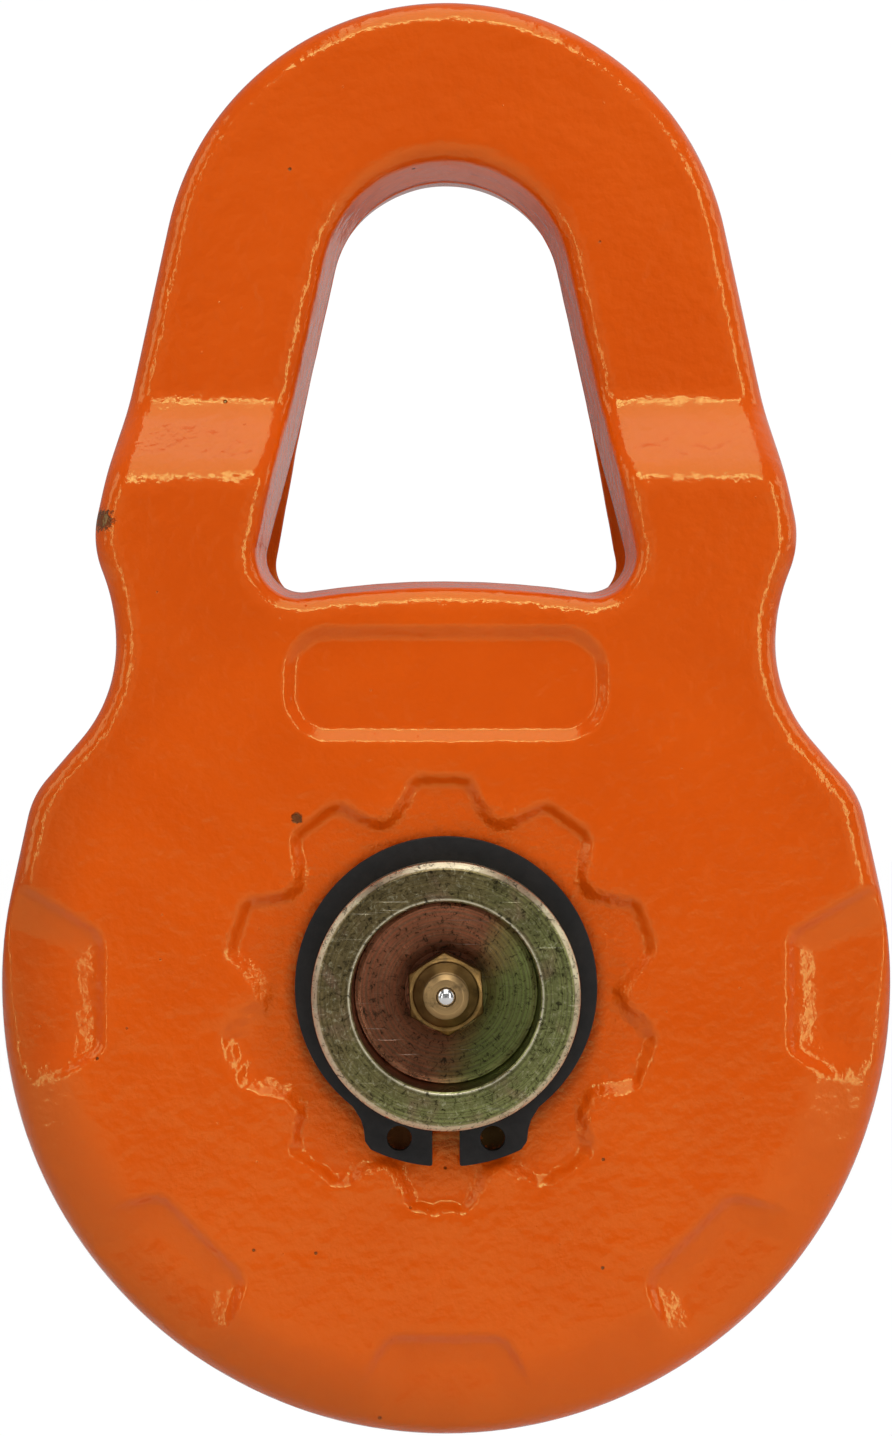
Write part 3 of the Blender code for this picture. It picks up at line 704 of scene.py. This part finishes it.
def nipple_mesh():
    """The grease nipple's body: channel, head, neck and cone on a chamfered hexagon and its stem."""
    low, high = HEX_Z
    corner_r = HEX_FLATS / math.sqrt(3.0)
    tip = NIPPLE_TIP
    upper = [
        (CHANNEL_R, STEM_END, 0.0),
        (CHANNEL_R, tip - 0.0008, 0.0),
        (MOUTH_R, tip - 0.0003, 0.0),
        (MOUTH_R + 0.0001, tip, 0.00008),
        (NIPPLE_HEAD_R - 0.0008, tip, 0.0002),
        (NIPPLE_HEAD_R, tip - 0.0007, 0.0002),
        (NIPPLE_HEAD_R, tip - 0.0014, 0.0002),
        (NIPPLE_NECK_R, tip - 0.0022, 0.0003),
        (NIPPLE_NECK_R, tip - 0.0029, 0.0003),
        (NIPPLE_CONE_R - 0.0003, high + 0.0004, 0.0003),
        (NIPPLE_CONE_R - 0.0001, high, 0.0),
    ]
    sections = [(r, z, False) for r, z in softened(upper, False)]
    for share in (0.0, 0.2, 0.4, 0.6, 0.8, 1.0):
        limit = NIPPLE_CONE_R + 0.0003 + (corner_r - NIPPLE_CONE_R - 0.0003) * share
        sections.append((limit, high - 0.0006 * share, True))
    sections += [(corner_r, low + 0.0004, True), (corner_r - 0.0005, low, True)]
    sections += [(STEM_R, low, False), (STEM_R, STEM_END + 0.0005, False)]
    sections.append((STEM_R - 0.0005, STEM_END, False))
    shell = Shell()
    rings = []
    for limit, z, hexagonal in sections:
        ring = []
        for k in range(NIPPLE_SIDES):
            a = math.tau * k / NIPPLE_SIDES + HEX_TURN
            radius = hexagon_radius(a, limit) if hexagonal else limit
            ring.append((radius * math.cos(a), radius * math.sin(a), z))
        rings.append(shell.ring(ring))
    shell.strips(rings + rings[:1])
    return shell.mesh()


def circlip_outlines():
    """The ring's edge with its two lugs, and the two holes in them."""
    gap = math.asin(LUG_GAP_HALF / RING_INNER_R)
    inside = arc(0.0, 0.0, RING_INNER_R, -math.pi / 2 + gap, 1.5 * math.pi - gap, 200)
    end = math.asin(LUG_GAP_HALF / LUG_END_R)
    corner = math.asin(LUG_END_HALF / LUG_END_R)
    lug = arc(0.0, 0.0, LUG_END_R, -math.pi / 2 + end, -math.pi / 2 + corner, 16) + list(LUG_SIDE)
    right = lug + arc(0.0, RING_SHIFT, RING_OUTER_R, math.radians(-52.0), math.pi / 2, 120)
    left = [(-x, y) for x, y in right[:-1]]
    corners = inside + left + list(reversed(right))
    whole = rounded(corners, [0.00035] * len(corners), 3)
    x, y, radius = LUG_HOLE
    holes = [arc(side, y, radius, 0.0, math.tau, 48)[:-1] for side in (-x, x)]
    return evenly(whole, 0.00030), [evenly(hole, 0.00025) for hole in holes]


def circlip_mesh():
    """A stamped ring with slightly rounded edges."""
    (edge, normal), holes = circlip_outlines()
    shell = Shell()
    half = RING_T / 2.0
    soft = 0.00016
    tops = []
    bottoms = []
    for outline, outward, side in [(edge, normal, 1.0)] + [(p, n, -1.0) for p, n in holes]:
        rings = []
        for high in (-1.0, 1.0):
            for k in range(4):
                a = math.radians(30.0 * (k if high > 0.0 else 3 - k))
                grow = -soft * (1.0 - math.cos(a)) * side
                z = high * (half - soft + soft * math.sin(a))
                rings.append(shell.ring(flat_z(outline + outward * grow, z)))
        shell.strips(rings)
        bottoms.append(rings[0])
        tops.append(rings[-1])
    shell.fill(tops, [], True)
    shell.fill(bottoms, [], False)
    return shell.mesh()


def ball_mesh():
    bm = bmesh.new()
    bmesh.ops.create_icosphere(bm, subdivisions=5, radius=BALL_R)
    made = bpy.data.meshes.new("fine")
    bm.to_mesh(made)
    bm.free()
    made.shade_smooth()
    return made


def spring_mesh():
    """The coil under the ball, with a closed turn at each end."""
    shell = Shell()
    low, high = SPRING_Z
    per_turn = 24
    last = per_turn * SPRING_TURNS
    middles = []
    for k in range(last + 1):
        turns = k / per_turn
        open_share = max(0.0, min(1.0, (turns - 1.0) / (SPRING_TURNS - 2.0)))
        closed_turns = min(turns, 1.0) + max(0.0, turns - SPRING_TURNS + 1.0)
        z = low + closed_turns * SPRING_WIRE_R * 2.3 + (high - low - SPRING_WIRE_R * 4.6) * open_share
        angle = math.tau * turns
        middles.append(Vector((SPRING_R * math.cos(angle), SPRING_R * math.sin(angle), z)))
    rings = []
    for k, middle in enumerate(middles):
        run = middles[min(k + 1, last)] - middles[max(k - 1, 0)]
        across = Vector((middle.x, middle.y, 0.0)).normalized()
        up = run.normalized().cross(across)
        wire = arc(0.0, 0.0, SPRING_WIRE_R, 0.0, math.tau, 12)[:-1]
        rings.append(shell.ring([middle + across * x + up * y for x, y in wire]))
    shell.strips(rings)
    shell.faces.append(tuple(reversed(rings[0])))
    shell.faces.append(tuple(rings[-1]))
    return shell.mesh()


# ---- finishes

def node(tree, kind, inputs=None, **settings):
    """A shader node. An input may be a value or another node's output."""
    made = tree.nodes.new("ShaderNode" + kind)
    for key, value in settings.items():
        setattr(made, key, value)
    for key, value in (inputs or {}).items():
        if isinstance(value, bpy.types.NodeSocket):
            tree.links.new(value, made.inputs[key])
        else:
            made.inputs[key].default_value = value
    return made


def finish(name, **values):
    """A material with its shader and the place on the object as a vector."""
    made = bpy.data.materials.new(name)
    made.use_nodes = True
    tree = made.node_tree
    shader = tree.nodes["Principled BSDF"]
    for key, value in values.items():
        shader.inputs[key.replace("_", " ")].default_value = value
    place = node(tree, "TexCoord").outputs["Object"]
    return made, tree, shader, place


def maths(tree, operation, first, second=0.0, third=0.0, clamp=False):
    made = node(tree, "Math", {0: first, 1: second, 2: third}, operation=operation, use_clamp=clamp)
    return made.outputs[0]


def times(tree, first, second):
    return maths(tree, "MULTIPLY", first, second)


def madd(tree, first, second, third):
    """The first times the second, plus the third."""
    return maths(tree, "MULTIPLY_ADD", first, second, third)


def spots(tree, place, scale, detail=2.0, rough=0.5, distortion=0.0):
    """Noise from 0 to 1."""
    inputs = {"Vector": place, "Scale": scale, "Detail": detail, "Roughness": rough}
    inputs["Distortion"] = distortion
    return node(tree, "TexNoise", inputs).outputs["Fac"]


def spread(tree, value, low, high, to_low=0.0, to_high=1.0):
    """A value stretched smoothly from one range to another."""
    inputs = {"Value": value, "From Min": low, "From Max": high, "To Min": to_low, "To Max": to_high}
    return node(tree, "MapRange", inputs, interpolation_type="SMOOTHSTEP").outputs["Result"]


def tint(tree, share, first, second):
    made = node(tree, "Mix", data_type="RGBA")
    sockets = {"Factor": share, "A": first, "B": second}
    for socket in made.inputs:
        wanted = sockets.get(socket.name)
        if wanted is None or socket.type not in ("RGBA", "VALUE") or not socket.enabled:
            continue
        if isinstance(wanted, bpy.types.NodeSocket):
            tree.links.new(wanted, socket)
        else:
            socket.default_value = wanted if socket.type == "VALUE" else (*wanted, 1.0)
    return next(s for s in made.outputs if s.enabled)


def along(tree, place, direction):
    """How far a place lies in a direction."""
    return node(tree, "VectorMath", {0: place, 1: direction}, operation="DOT_PRODUCT").outputs["Value"]


def axis_distance(tree, place, axis=(0.0, 0.0, 0.0)):
    """How far a place lies from the pin's axis, or from another one along it."""
    flat = node(tree, "VectorMath", {0: place, 1: (1.0, 1.0, 0.0)}, operation="MULTIPLY").outputs[0]
    return node(tree, "VectorMath", {0: flat, 1: axis}, operation="DISTANCE").outputs["Value"]


def turning_lines(tree, place, spacing):
    """Irregular concentric lines about the pin's axis, from 0 to 1."""
    radius = axis_distance(tree, place)
    inputs = {"W": radius, "Scale": 1.0 / spacing, "Detail": 2.0, "Roughness": 0.6}
    return node(tree, "TexNoise", inputs, noise_dimensions="1D").outputs["Fac"]


def scratches(tree, place, degrees, seed):
    """Fine straight scratches in one direction, from 0 to 1."""
    inputs = {"Vector": place, "Location": (seed, seed, seed), "Scale": (90.0, 3200.0, 90.0)}
    inputs["Rotation"] = (0.0, 0.0, math.radians(degrees))
    turned_place = node(tree, "Mapping", inputs).outputs[0]
    lines = spots(tree, turned_place, 1.0, 1.0)
    return spread(tree, lines, 0.70, 0.80)


def dress(look, colour, rough, height, distance):
    """Gives a finish its colour, roughness and bump."""
    made, tree, shader = look
    relief = node(tree, "Bump", {"Height": height, "Distance": distance, "Strength": 1.0})
    tree.links.new(colour, shader.inputs["Base Color"])
    tree.links.new(rough, shader.inputs["Roughness"])
    tree.links.new(relief.outputs[0], shader.inputs["Normal"])
    return made


def mark(tree, place, spot, noisy):
    """A ragged round mark on the cheek, 1 in its middle and 0 outside."""
    x, y, radius = spot
    gap = axis_distance(tree, place, (x, y, 0.0))
    ragged = madd(tree, noisy, radius * 2.2, gap)
    return spread(tree, ragged, radius * 2.2, radius * 1.7)


def orange_paint(name, chips_and_hole_shade):
    """Glossy powder coat over a casting, with orange peel, pits and a rougher toothed recess, and
    painted shade on the lower left rim, round the bore and in the circlip's lug holes.
    """
    made, tree, shader, place = finish(
        name, Specular_IOR_Level=0.65, Specular_Tint=(0.72, 0.96, 0.30, 1.0), IOR=1.5
    )
    broad = spots(tree, place, 55.0, 3.0)
    broad = spread(tree, broad, 0.3, 0.7)
    colour = tint(tree, broad, (0.75, 0.086, 0.0020), (0.79, 0.096, 0.0030))
    cells = node(tree, "TexVoronoi", {"Vector": place, "Scale": 210.0, "Randomness": 1.0})
    draw = node(tree, "SeparateColor", {"Color": cells.outputs["Color"]}).outputs[0]
    chosen = maths(tree, "GREATER_THAN", draw, 0.86)
    pit = times(tree, spread(tree, cells.outputs["Distance"], 0.075, 0.03), chosen)
    colour = tint(tree, pit, colour, (0.20, 0.035, 0.006))
    fine = spots(tree, place, 1100.0, 2.0, 0.6)
    peel = spots(tree, place, 420.0, 1.5, 0.5)
    radius = axis_distance(tree, place)
    recess = spread(tree, radius, 0.0325, 0.0285)
    lumps = spots(tree, place, 640.0, 3.0, 0.55)
    swell = spots(tree, place, 190.0, 1.0, 0.5)
    nib = spread(tree, cells.outputs["Distance"], 0.05, 0.01)
    nib = times(tree, nib, maths(tree, "SUBTRACT", 1.0, chosen))
    height = madd(tree, peel, 0.95, times(tree, fine, 0.30))
    lumps = times(tree, lumps, recess)
    for part, share in ((swell, 1.1), (lumps, 1.9), (pit, -2.0), (nib, 0.35)):
        height = madd(tree, part, share, height)
    # Painted shade: the rim's cone darkens towards the lower left, standing in for the weaker light
    # there.
    down_left = along(tree, place, (-0.78, -0.62, 0.0))
    painted_rim_shade = spread(tree, down_left, 0.005, 0.050, 0.12, 0.55)
    painted_rim_shade = times(tree, spread(tree, radius, 0.0545, 0.0655), painted_rim_shade)
    colour = tint(tree, painted_rim_shade, colour, (0.40, 0.052, 0.006))
    # Painted shadow: the paint darkens in a ring round the bore, under the circlip.
    shade = spread(tree, radius, 0.0250, 0.0225)
    colour = tint(tree, times(tree, shade, 0.6), colour, (0.22, 0.018, 0.003))
    matt = times(tree, recess, -0.015)
    if chips_and_hole_shade:
        noisy = spots(tree, place, 900.0, 3.0, 0.7)
        for spot in (SHOULDER_CHIP, TOOTH_CHIP):
            chip = mark(tree, place, spot, noisy)
            grain = spots(tree, place, 1500.0, 2.0)
            brown = tint(tree, grain, (0.030, 0.012, 0.007), (0.24, 0.055, 0.018))
            colour = tint(tree, times(tree, chip, 0.95), colour, brown)
            height = madd(tree, chip, -3.0, height)
        # Painted shade: near black spots on the floor under the circlip's two lug holes, in place of the
        # shade in these holes; the grease colours here are this painted shade.
        for side, grease in ((-1.0, (0.070, 0.001, 0.001)), (1.0, (0.030, 0.001, 0.001))):
            painted_hole_shade = mark(tree, place, (side * LUG_HOLE[0], LUG_HOLE[1], 0.0029), noisy)
            colour = tint(tree, times(tree, painted_hole_shade, 0.97), colour, grease)
            matt = madd(tree, painted_hole_shade, 0.65, matt)
    rough = spread(tree, spots(tree, place, 130.0, 3.0), 0.25, 0.75, 0.10, 0.15)
    rough = maths(tree, "ADD", matt, rough)
    return dress((made, tree, shader), colour, rough, height, 0.00021)


def yellow_zinc(name):
    """Turned steel plated with yellow zinc: olive and green, with pink where the film is thinner. Part
    of the green side's lift, the well's two-tone sides and the cream edge lines are painted sheen,
    reflection and highlight.
    """
    made, tree, shader, place = finish(name, Metallic=1.0)
    axes = node(tree, "SeparateXYZ", {"Vector": place})
    # Partly painted sheen: the tone turns greener and lighter towards the lower right, partly the film's
    # hue and partly the light caught by the turned face.
    film_and_sheen_drift = madd(tree, axes.outputs["Y"], -0.7, axes.outputs["X"])
    cloud = spots(tree, place, 120.0, 3.0, 0.6, 0.4)
    green = spread(tree, madd(tree, cloud, 0.024, film_and_sheen_drift), -0.004, 0.030)
    colour = tint(tree, green, (0.240, 0.180, 0.075), (0.29, 0.31, 0.105))
    pink = spread(tree, spots(tree, place, 210.0, 2.0, 0.5, 0.6), 0.52, 0.72)
    colour = tint(tree, times(tree, pink, 0.5), colour, (0.36, 0.20, 0.14))
    radius = axis_distance(tree, place)
    front = spread(tree, axes.outputs["Z"], 0.0, 0.0040)
    deep = spread(tree, axes.outputs["Z"], PIN_END - 0.0002, PIN_END - 0.0022)
    deep = times(tree, deep, front)
    deep = times(tree, deep, spread(tree, radius, WELL_MOUTH_R + 0.0006, WELL_MOUTH_R))
    # Partly painted reflection: inside the well the colour runs from pinkish brown on the left to green
    # on the right, the film's hue mixed with the lit and shaded sides of the turned floor.
    across = madd(tree, axes.outputs["Y"], -0.35, axes.outputs["X"])
    across = madd(tree, cloud, 0.008, across)
    across = spread(tree, across, 0.0045, 0.0135)
    well_hue_and_reflection = tint(tree, across, (0.30, 0.090, 0.045), (0.20, 0.235, 0.065))
    colour = tint(tree, times(tree, deep, 0.92), colour, well_hue_and_reflection)
    lines = turning_lines(tree, place, 0.00035)
    worn = maths(tree, "MAXIMUM", scratches(tree, place, 28.0, 0.0), scratches(tree, place, -47.0, 4.0))
    colour = tint(tree, times(tree, worn, 0.35), colour, (0.72, 0.70, 0.58))
    colour = tint(tree, spread(tree, lines, 0.40, 0.62, 0.0, 0.50), colour, (0.10, 0.08, 0.045))
    # Painted highlight: cream lines round the well's edge and on the pin's outer chamfer stand for the
    # light these edges catch.
    painted_well_edge_highlight = spread(tree, radius, WELL_MOUTH_R - 0.00014, WELL_MOUTH_R - 0.00002)
    past = spread(tree, radius, WELL_MOUTH_R + 0.0001, WELL_MOUTH_R + 0.00028)
    painted_well_edge_highlight = maths(tree, "SUBTRACT", painted_well_edge_highlight, past)
    painted_well_edge_highlight = times(tree, painted_well_edge_highlight, times(tree, front, 0.85))
    rim = spread(tree, radius, PIN_R - 0.0010, PIN_R - 0.00075)
    bright = maths(tree, "MAXIMUM", painted_well_edge_highlight, times(tree, rim, 0.6))
    colour = tint(tree, bright, colour, (0.86, 0.78, 0.56))
    grain = spots(tree, place, 1100.0, 5.0, 0.78, 0.8)
    colour = tint(tree, spread(tree, grain, 0.52, 0.64, 0.0, 0.88), colour, (0.030, 0.024, 0.014))
    pale = madd(tree, deep, -0.40, 0.46)
    pale = times(tree, spread(tree, grain, 0.46, 0.34), pale)
    colour = tint(tree, pale, colour, (0.74, 0.70, 0.46))
    rough = spread(tree, spots(tree, place, 400.0, 3.0), 0.3, 0.7, 0.26, 0.42)
    height = madd(tree, worn, -1.2, lines)
    height = madd(tree, grain, 0.9, height)
    return dress((made, tree, shader), colour, rough, height, 0.000018)


def turned_metal(name, low, high, roughness, spacing, depth, grime=0.0, middle=None):
    """A machined metal with turning lines, uneven tone and a little grime."""
    made, tree, shader, place = finish(name, Metallic=1.0)
    lines = turning_lines(tree, place, spacing)
    colour = tint(tree, spread(tree, spots(tree, place, 260.0, 4.0, 0.6), 0.3, 0.7), low, high)
    if middle is not None:
        # On the brass nipple this lighter tone within the head's radius is painted light, the head shown
        # lit above its shaded hexagon.
        reach, tone = middle
        near = spread(tree, axis_distance(tree, place), reach + 0.0001, reach)
        colour = tint(tree, near, colour, tone)
    dirt = spread(tree, spots(tree, place, 480.0, 4.0, 0.7), 0.52, 0.72, 0.0, grime)
    colour = tint(tree, dirt, colour, (0.05, 0.035, 0.02))
    colour = tint(tree, spread(tree, lines, 0.4, 0.7, 0.0, 0.18), colour, low)
    cloud = spots(tree, place, 700.0, 3.0)
    rough = spread(tree, cloud, 0.3, 0.7, roughness - 0.06, roughness + 0.08)
    height = madd(tree, spots(tree, place, 2500.0, 2.0), 0.4, lines)
    return dress((made, tree, shader), colour, rough, height, depth)


def black_steel(name):
    """Phosphated spring steel: charcoal with a faint brown cast, matte, and slightly grainy."""
    made, tree, shader, place = finish(name, Specular_IOR_Level=0.36)
    cloud = spread(tree, spots(tree, place, 300.0, 4.0, 0.65), 0.3, 0.7)
    colour = tint(tree, cloud, (0.0045, 0.0034, 0.0030), (0.0105, 0.0078, 0.0066))
    grain = spots(tree, place, 3200.0, 2.0, 0.6)
    colour = tint(tree, spread(tree, grain, 0.68, 0.80, 0.0, 0.4), colour, (0.06, 0.05, 0.045))
    rough = spread(tree, spots(tree, place, 900.0, 3.0), 0.3, 0.7, 0.42, 0.60)
    return dress((made, tree, shader), colour, rough, grain, 0.000012)


def polymer(name):
    """Black moulded washer with a faint grain."""
    made, tree, shader, place = finish(name, Specular_IOR_Level=0.4)
    cloud = spread(tree, spots(tree, place, 350.0, 3.0), 0.3, 0.7)
    colour = tint(tree, cloud, (0.020, 0.020, 0.022), (0.045, 0.045, 0.048))
    rough = spread(tree, spots(tree, place, 800.0, 2.0), 0.3, 0.7, 0.45, 0.62)
    return dress((made, tree, shader), colour, rough, spots(tree, place, 2600.0, 3.0), 0.00001)


# ---- assembly

PIN_FRAME = Matrix.Translation((0.0, 0.0, -EYE_Y)) @ Matrix.Rotation(math.pi / 2, 4, "X")
HALF_TURN = Matrix.Rotation(math.pi, 4, "Y")


def add_piece(node_name, mesh, look, body, place=None):
    """A piece that stands for one CAD node."""
    mesh.name = node_name + "_fine"
    made = bpy.data.objects.new(mesh.name, mesh)
    mesh.materials.append(look)
    bpy.context.scene.collection.objects.link(made)
    made.matrix_world = PIN_FRAME @ (place or Matrix.Identity(4))
    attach(made, body)
    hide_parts(node_name)
    return made


def repaint(node_name, look):
    """A better finish for a CAD node that stays."""
    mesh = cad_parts[node_name].data
    mesh.materials.clear()
    mesh.materials.append(look)


def build_block():
    zinc = yellow_zinc("yellow_zinc_fine")
    black = black_steel("black_steel_fine")
    grey = ((0.40, 0.39, 0.38), (0.56, 0.55, 0.53))
    steel = turned_metal("machined_steel_fine", *grey, 0.34, 0.0005, 0.000008, 0.3)
    brown = ((0.42, 0.24, 0.09), (0.56, 0.34, 0.14))
    bronze = turned_metal("bronze_fine", *brown, 0.36, 0.0004, 0.000006, 0.2)
    # The brass tones are kept dark, partly as painted shade for the nipple deep in the pin's well; the
    # head tone below is painted light.
    yellow = ((0.20, 0.115, 0.036), (0.32, 0.19, 0.065))
    head = (NIPPLE_HEAD_R, (0.50, 0.32, 0.14))
    brass = turned_metal("brass_fine", *yellow, 0.38, 0.00025, 0.000006, 0.6, head)
    pale = ((0.70, 0.69, 0.68), (0.82, 0.81, 0.80))
    bright = turned_metal("bright_steel_fine", *pale, 0.13, 0.0006, 0.000001, 0.1)
    washer = polymer("washer_polymer_fine")
    rear = "rear_side"
    near, far = WASHER_Z
    paint = orange_paint("orange_paint_front", True)
    cheek = cheek_mesh(MOVING_BORE_R, 1)
    add_piece("front_cheek", cheek, paint, "front_side")
    paint = orange_paint("orange_paint_rear", False)
    cheek = cheek_mesh(FIXED_BORE_R, 6)
    add_piece("rear_cheek", cheek, paint, rear, HALF_TURN)
    add_piece("axle_pin", pin_mesh(), zinc, rear)
    front_place = Matrix.Translation((0.0, 0.0, RING_Z))
    rear_place = Matrix.Translation((0.0, 0.0, -RING_Z)) @ HALF_TURN
    add_piece("front_circlip", circlip_mesh(), black, rear, front_place)
    add_piece("rear_circlip", circlip_mesh(), black, rear, rear_place)
    add_piece("sheave", sheave_mesh(), steel, "wheel")
    bush = tube(BUSH_R, (-BUSH_HALF, BUSH_HALF), 0.0003)
    add_piece("sheave_bush", bush, bronze, "wheel")
    for node_name, ends in (("front_thrust_washer", (near, far)), ("rear_thrust_washer", (-far, -near))):
        flat_ring = tube(WASHER_R, ends, 0.0002)
        add_piece(node_name, flat_ring, washer, rear)
    add_piece("nipple_body", nipple_mesh(), brass, rear)
    ball_place = Matrix.Translation((0.0, 0.0, BALL_Z))
    add_piece("nipple_ball", ball_mesh(), bright, "ball", ball_place)
    spring = add_piece("nipple_spring", spring_mesh(), bright, rear)
    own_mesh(spring)
    repaint("nipple_spring_seat", brass)


# ---- studio

def stage_look():
    """Pale floor. The camera sees it evenly lit, as on a light table."""
    made = bpy.data.materials.new("pale_floor")
    made.use_nodes = True
    tree = made.node_tree
    shader = tree.nodes["Principled BSDF"]
    shader.inputs["Base Color"].default_value = (0.80, 0.80, 0.80, 1.0)
    shader.inputs["Roughness"].default_value = 0.9
    glow = node(tree, "Emission", {"Color": WHITE, "Strength": 1.03})
    seen = node(tree, "LightPath").outputs["Is Camera Ray"]
    share = times(tree, seen, 0.96)
    mixed = node(tree, "MixShader", {0: share, 1: shader.outputs[0], 2: glow.outputs[0]})
    output = next(n for n in tree.nodes if n.type == "OUTPUT_MATERIAL")
    tree.links.new(mixed.outputs[0], output.inputs["Surface"])
    return made


def add_floor():
    """The block hangs from its eye, so the floor lies below the reach of the swung cheek."""
    height = -EYE_Y - (EYE_Y + EYE_R) - 0.0015
    side = 4.0
    corners = [(-side, -side, 0.0), (side, -side, 0.0), (side, side, 0.0), (-side, side, 0.0)]
    mesh = bpy.data.meshes.new("floor")
    mesh.from_pydata(corners, [], [(0, 1, 2, 3)])
    mesh.materials.append(stage_look())
    floor = bpy.data.objects.new("floor", mesh)
    floor.location = (0.0, 0.0, height)
    bpy.context.scene.collection.objects.link(floor)


def add_softbox(name, azimuth, elevation, distance, width, height, radiance):
    """A rectangular light that faces the block. Azimuth 0 is in front, and it grows to the right."""
    light = bpy.data.lights.new(name, "AREA")
    light.shape = "RECTANGLE"
    light.size = width
    light.size_y = height
    light.energy = radiance * math.pi * width * height
    a = math.radians(azimuth)
    e = math.radians(elevation)
    out = Vector((math.sin(a) * math.cos(e), -math.cos(a) * math.cos(e), math.sin(e)))
    made = bpy.data.objects.new(name, light)
    made.location = Vector((0.0, 0.0, -0.066)) + out * distance
    made.rotation_euler = out.to_track_quat("Z", "Y").to_euler()
    bpy.context.scene.collection.objects.link(made)
    return made


def add_lights():
    add_softbox("top_box", 0.0, 69.0, 0.95, 0.64, 0.86, 1.95)
    add_softbox("top_strip", 0.0, 45.0, 0.95, 0.64, 0.10, 7.5)
    add_softbox("left_side", -78.0, 22.0, 0.95, 0.26, 0.70, 1.6)
    add_softbox("right_box", 45.0, 9.0, 0.95, 0.15, 0.90, 4.6)
    add_softbox("left_box", -45.0, 9.0, 0.95, 0.08, 0.80, 4.0)
    add_softbox("right_side", 90.0, 18.0, 0.95, 0.26, 0.70, 1.5)
    fills = (
        ("front_fill", 25.0, 44.0, 0.43),
        ("left_fill", -105.0, 10.0, 0.20),
        ("right_fill", 105.0, 10.0, 0.12),
        ("rear_fill", 180.0, 35.0, 0.60),
    )
    for name, azimuth, elevation, radiance in fills:
        fill = add_softbox(name, azimuth, elevation, 1.20, 1.00, 1.00, radiance)
        fill.visible_glossy = False


def set_world():
    world = bpy.data.worlds.new("studio")
    bpy.context.scene.world = world
    world.use_nodes = True
    tree = world.node_tree
    tree.nodes.clear()
    white = node(tree, "Background", {"Color": WHITE, "Strength": 1.02})
    way = node(tree, "TexCoord").outputs["Generated"]
    frontal = along(tree, way, (0.0, -1.0, 0.0))
    axes = node(tree, "SeparateXYZ", {"Vector": way})
    height = axes.outputs["Z"]
    ahead = spread(tree, frontal, 0.55, 0.80)
    camera_side = spread(tree, frontal, 0.965, 0.992)
    table = spread(tree, height, 0.25, -0.05, 0.12, 0.45)
    table = times(tree, table, maths(tree, "SUBTRACT", ahead, camera_side))
    behind = spread(tree, frontal, 0.10, -0.40)
    behind = times(tree, behind, spread(tree, axes.outputs["X"], -0.3, 0.4, 0.10, 0.42))
    strength = maths(tree, "ADD", maths(tree, "ADD", behind, 0.15), table)
    strength = madd(tree, camera_side, -0.005, strength)
    room = node(tree, "Background", {"Color": WHITE, "Strength": strength})
    seen = node(tree, "LightPath").outputs["Is Camera Ray"]
    mixed = node(tree, "MixShader", {0: seen, 1: room.outputs[0], 2: white.outputs[0]})
    output = node(tree, "OutputWorld")
    tree.links.new(mixed.outputs[0], output.inputs["Surface"])


def add_camera():
    data = bpy.data.cameras.new("camera")
    data.lens = CAMERA_LENS
    data.sensor_width = 36.0
    data.clip_start = 0.01
    camera = bpy.data.objects.new("camera", data)
    x, y, up = CAMERA_FROM_PIN
    camera.location = (x, y, up - EYE_Y)
    camera.rotation_euler = (math.pi / 2, 0.0, 0.0)
    bpy.context.scene.collection.objects.link(camera)
    bpy.context.scene.camera = camera


build_block()
add_floor()
add_lights()
set_world()
add_camera()
bpy.context.scene.view_settings.view_transform = "Standard"
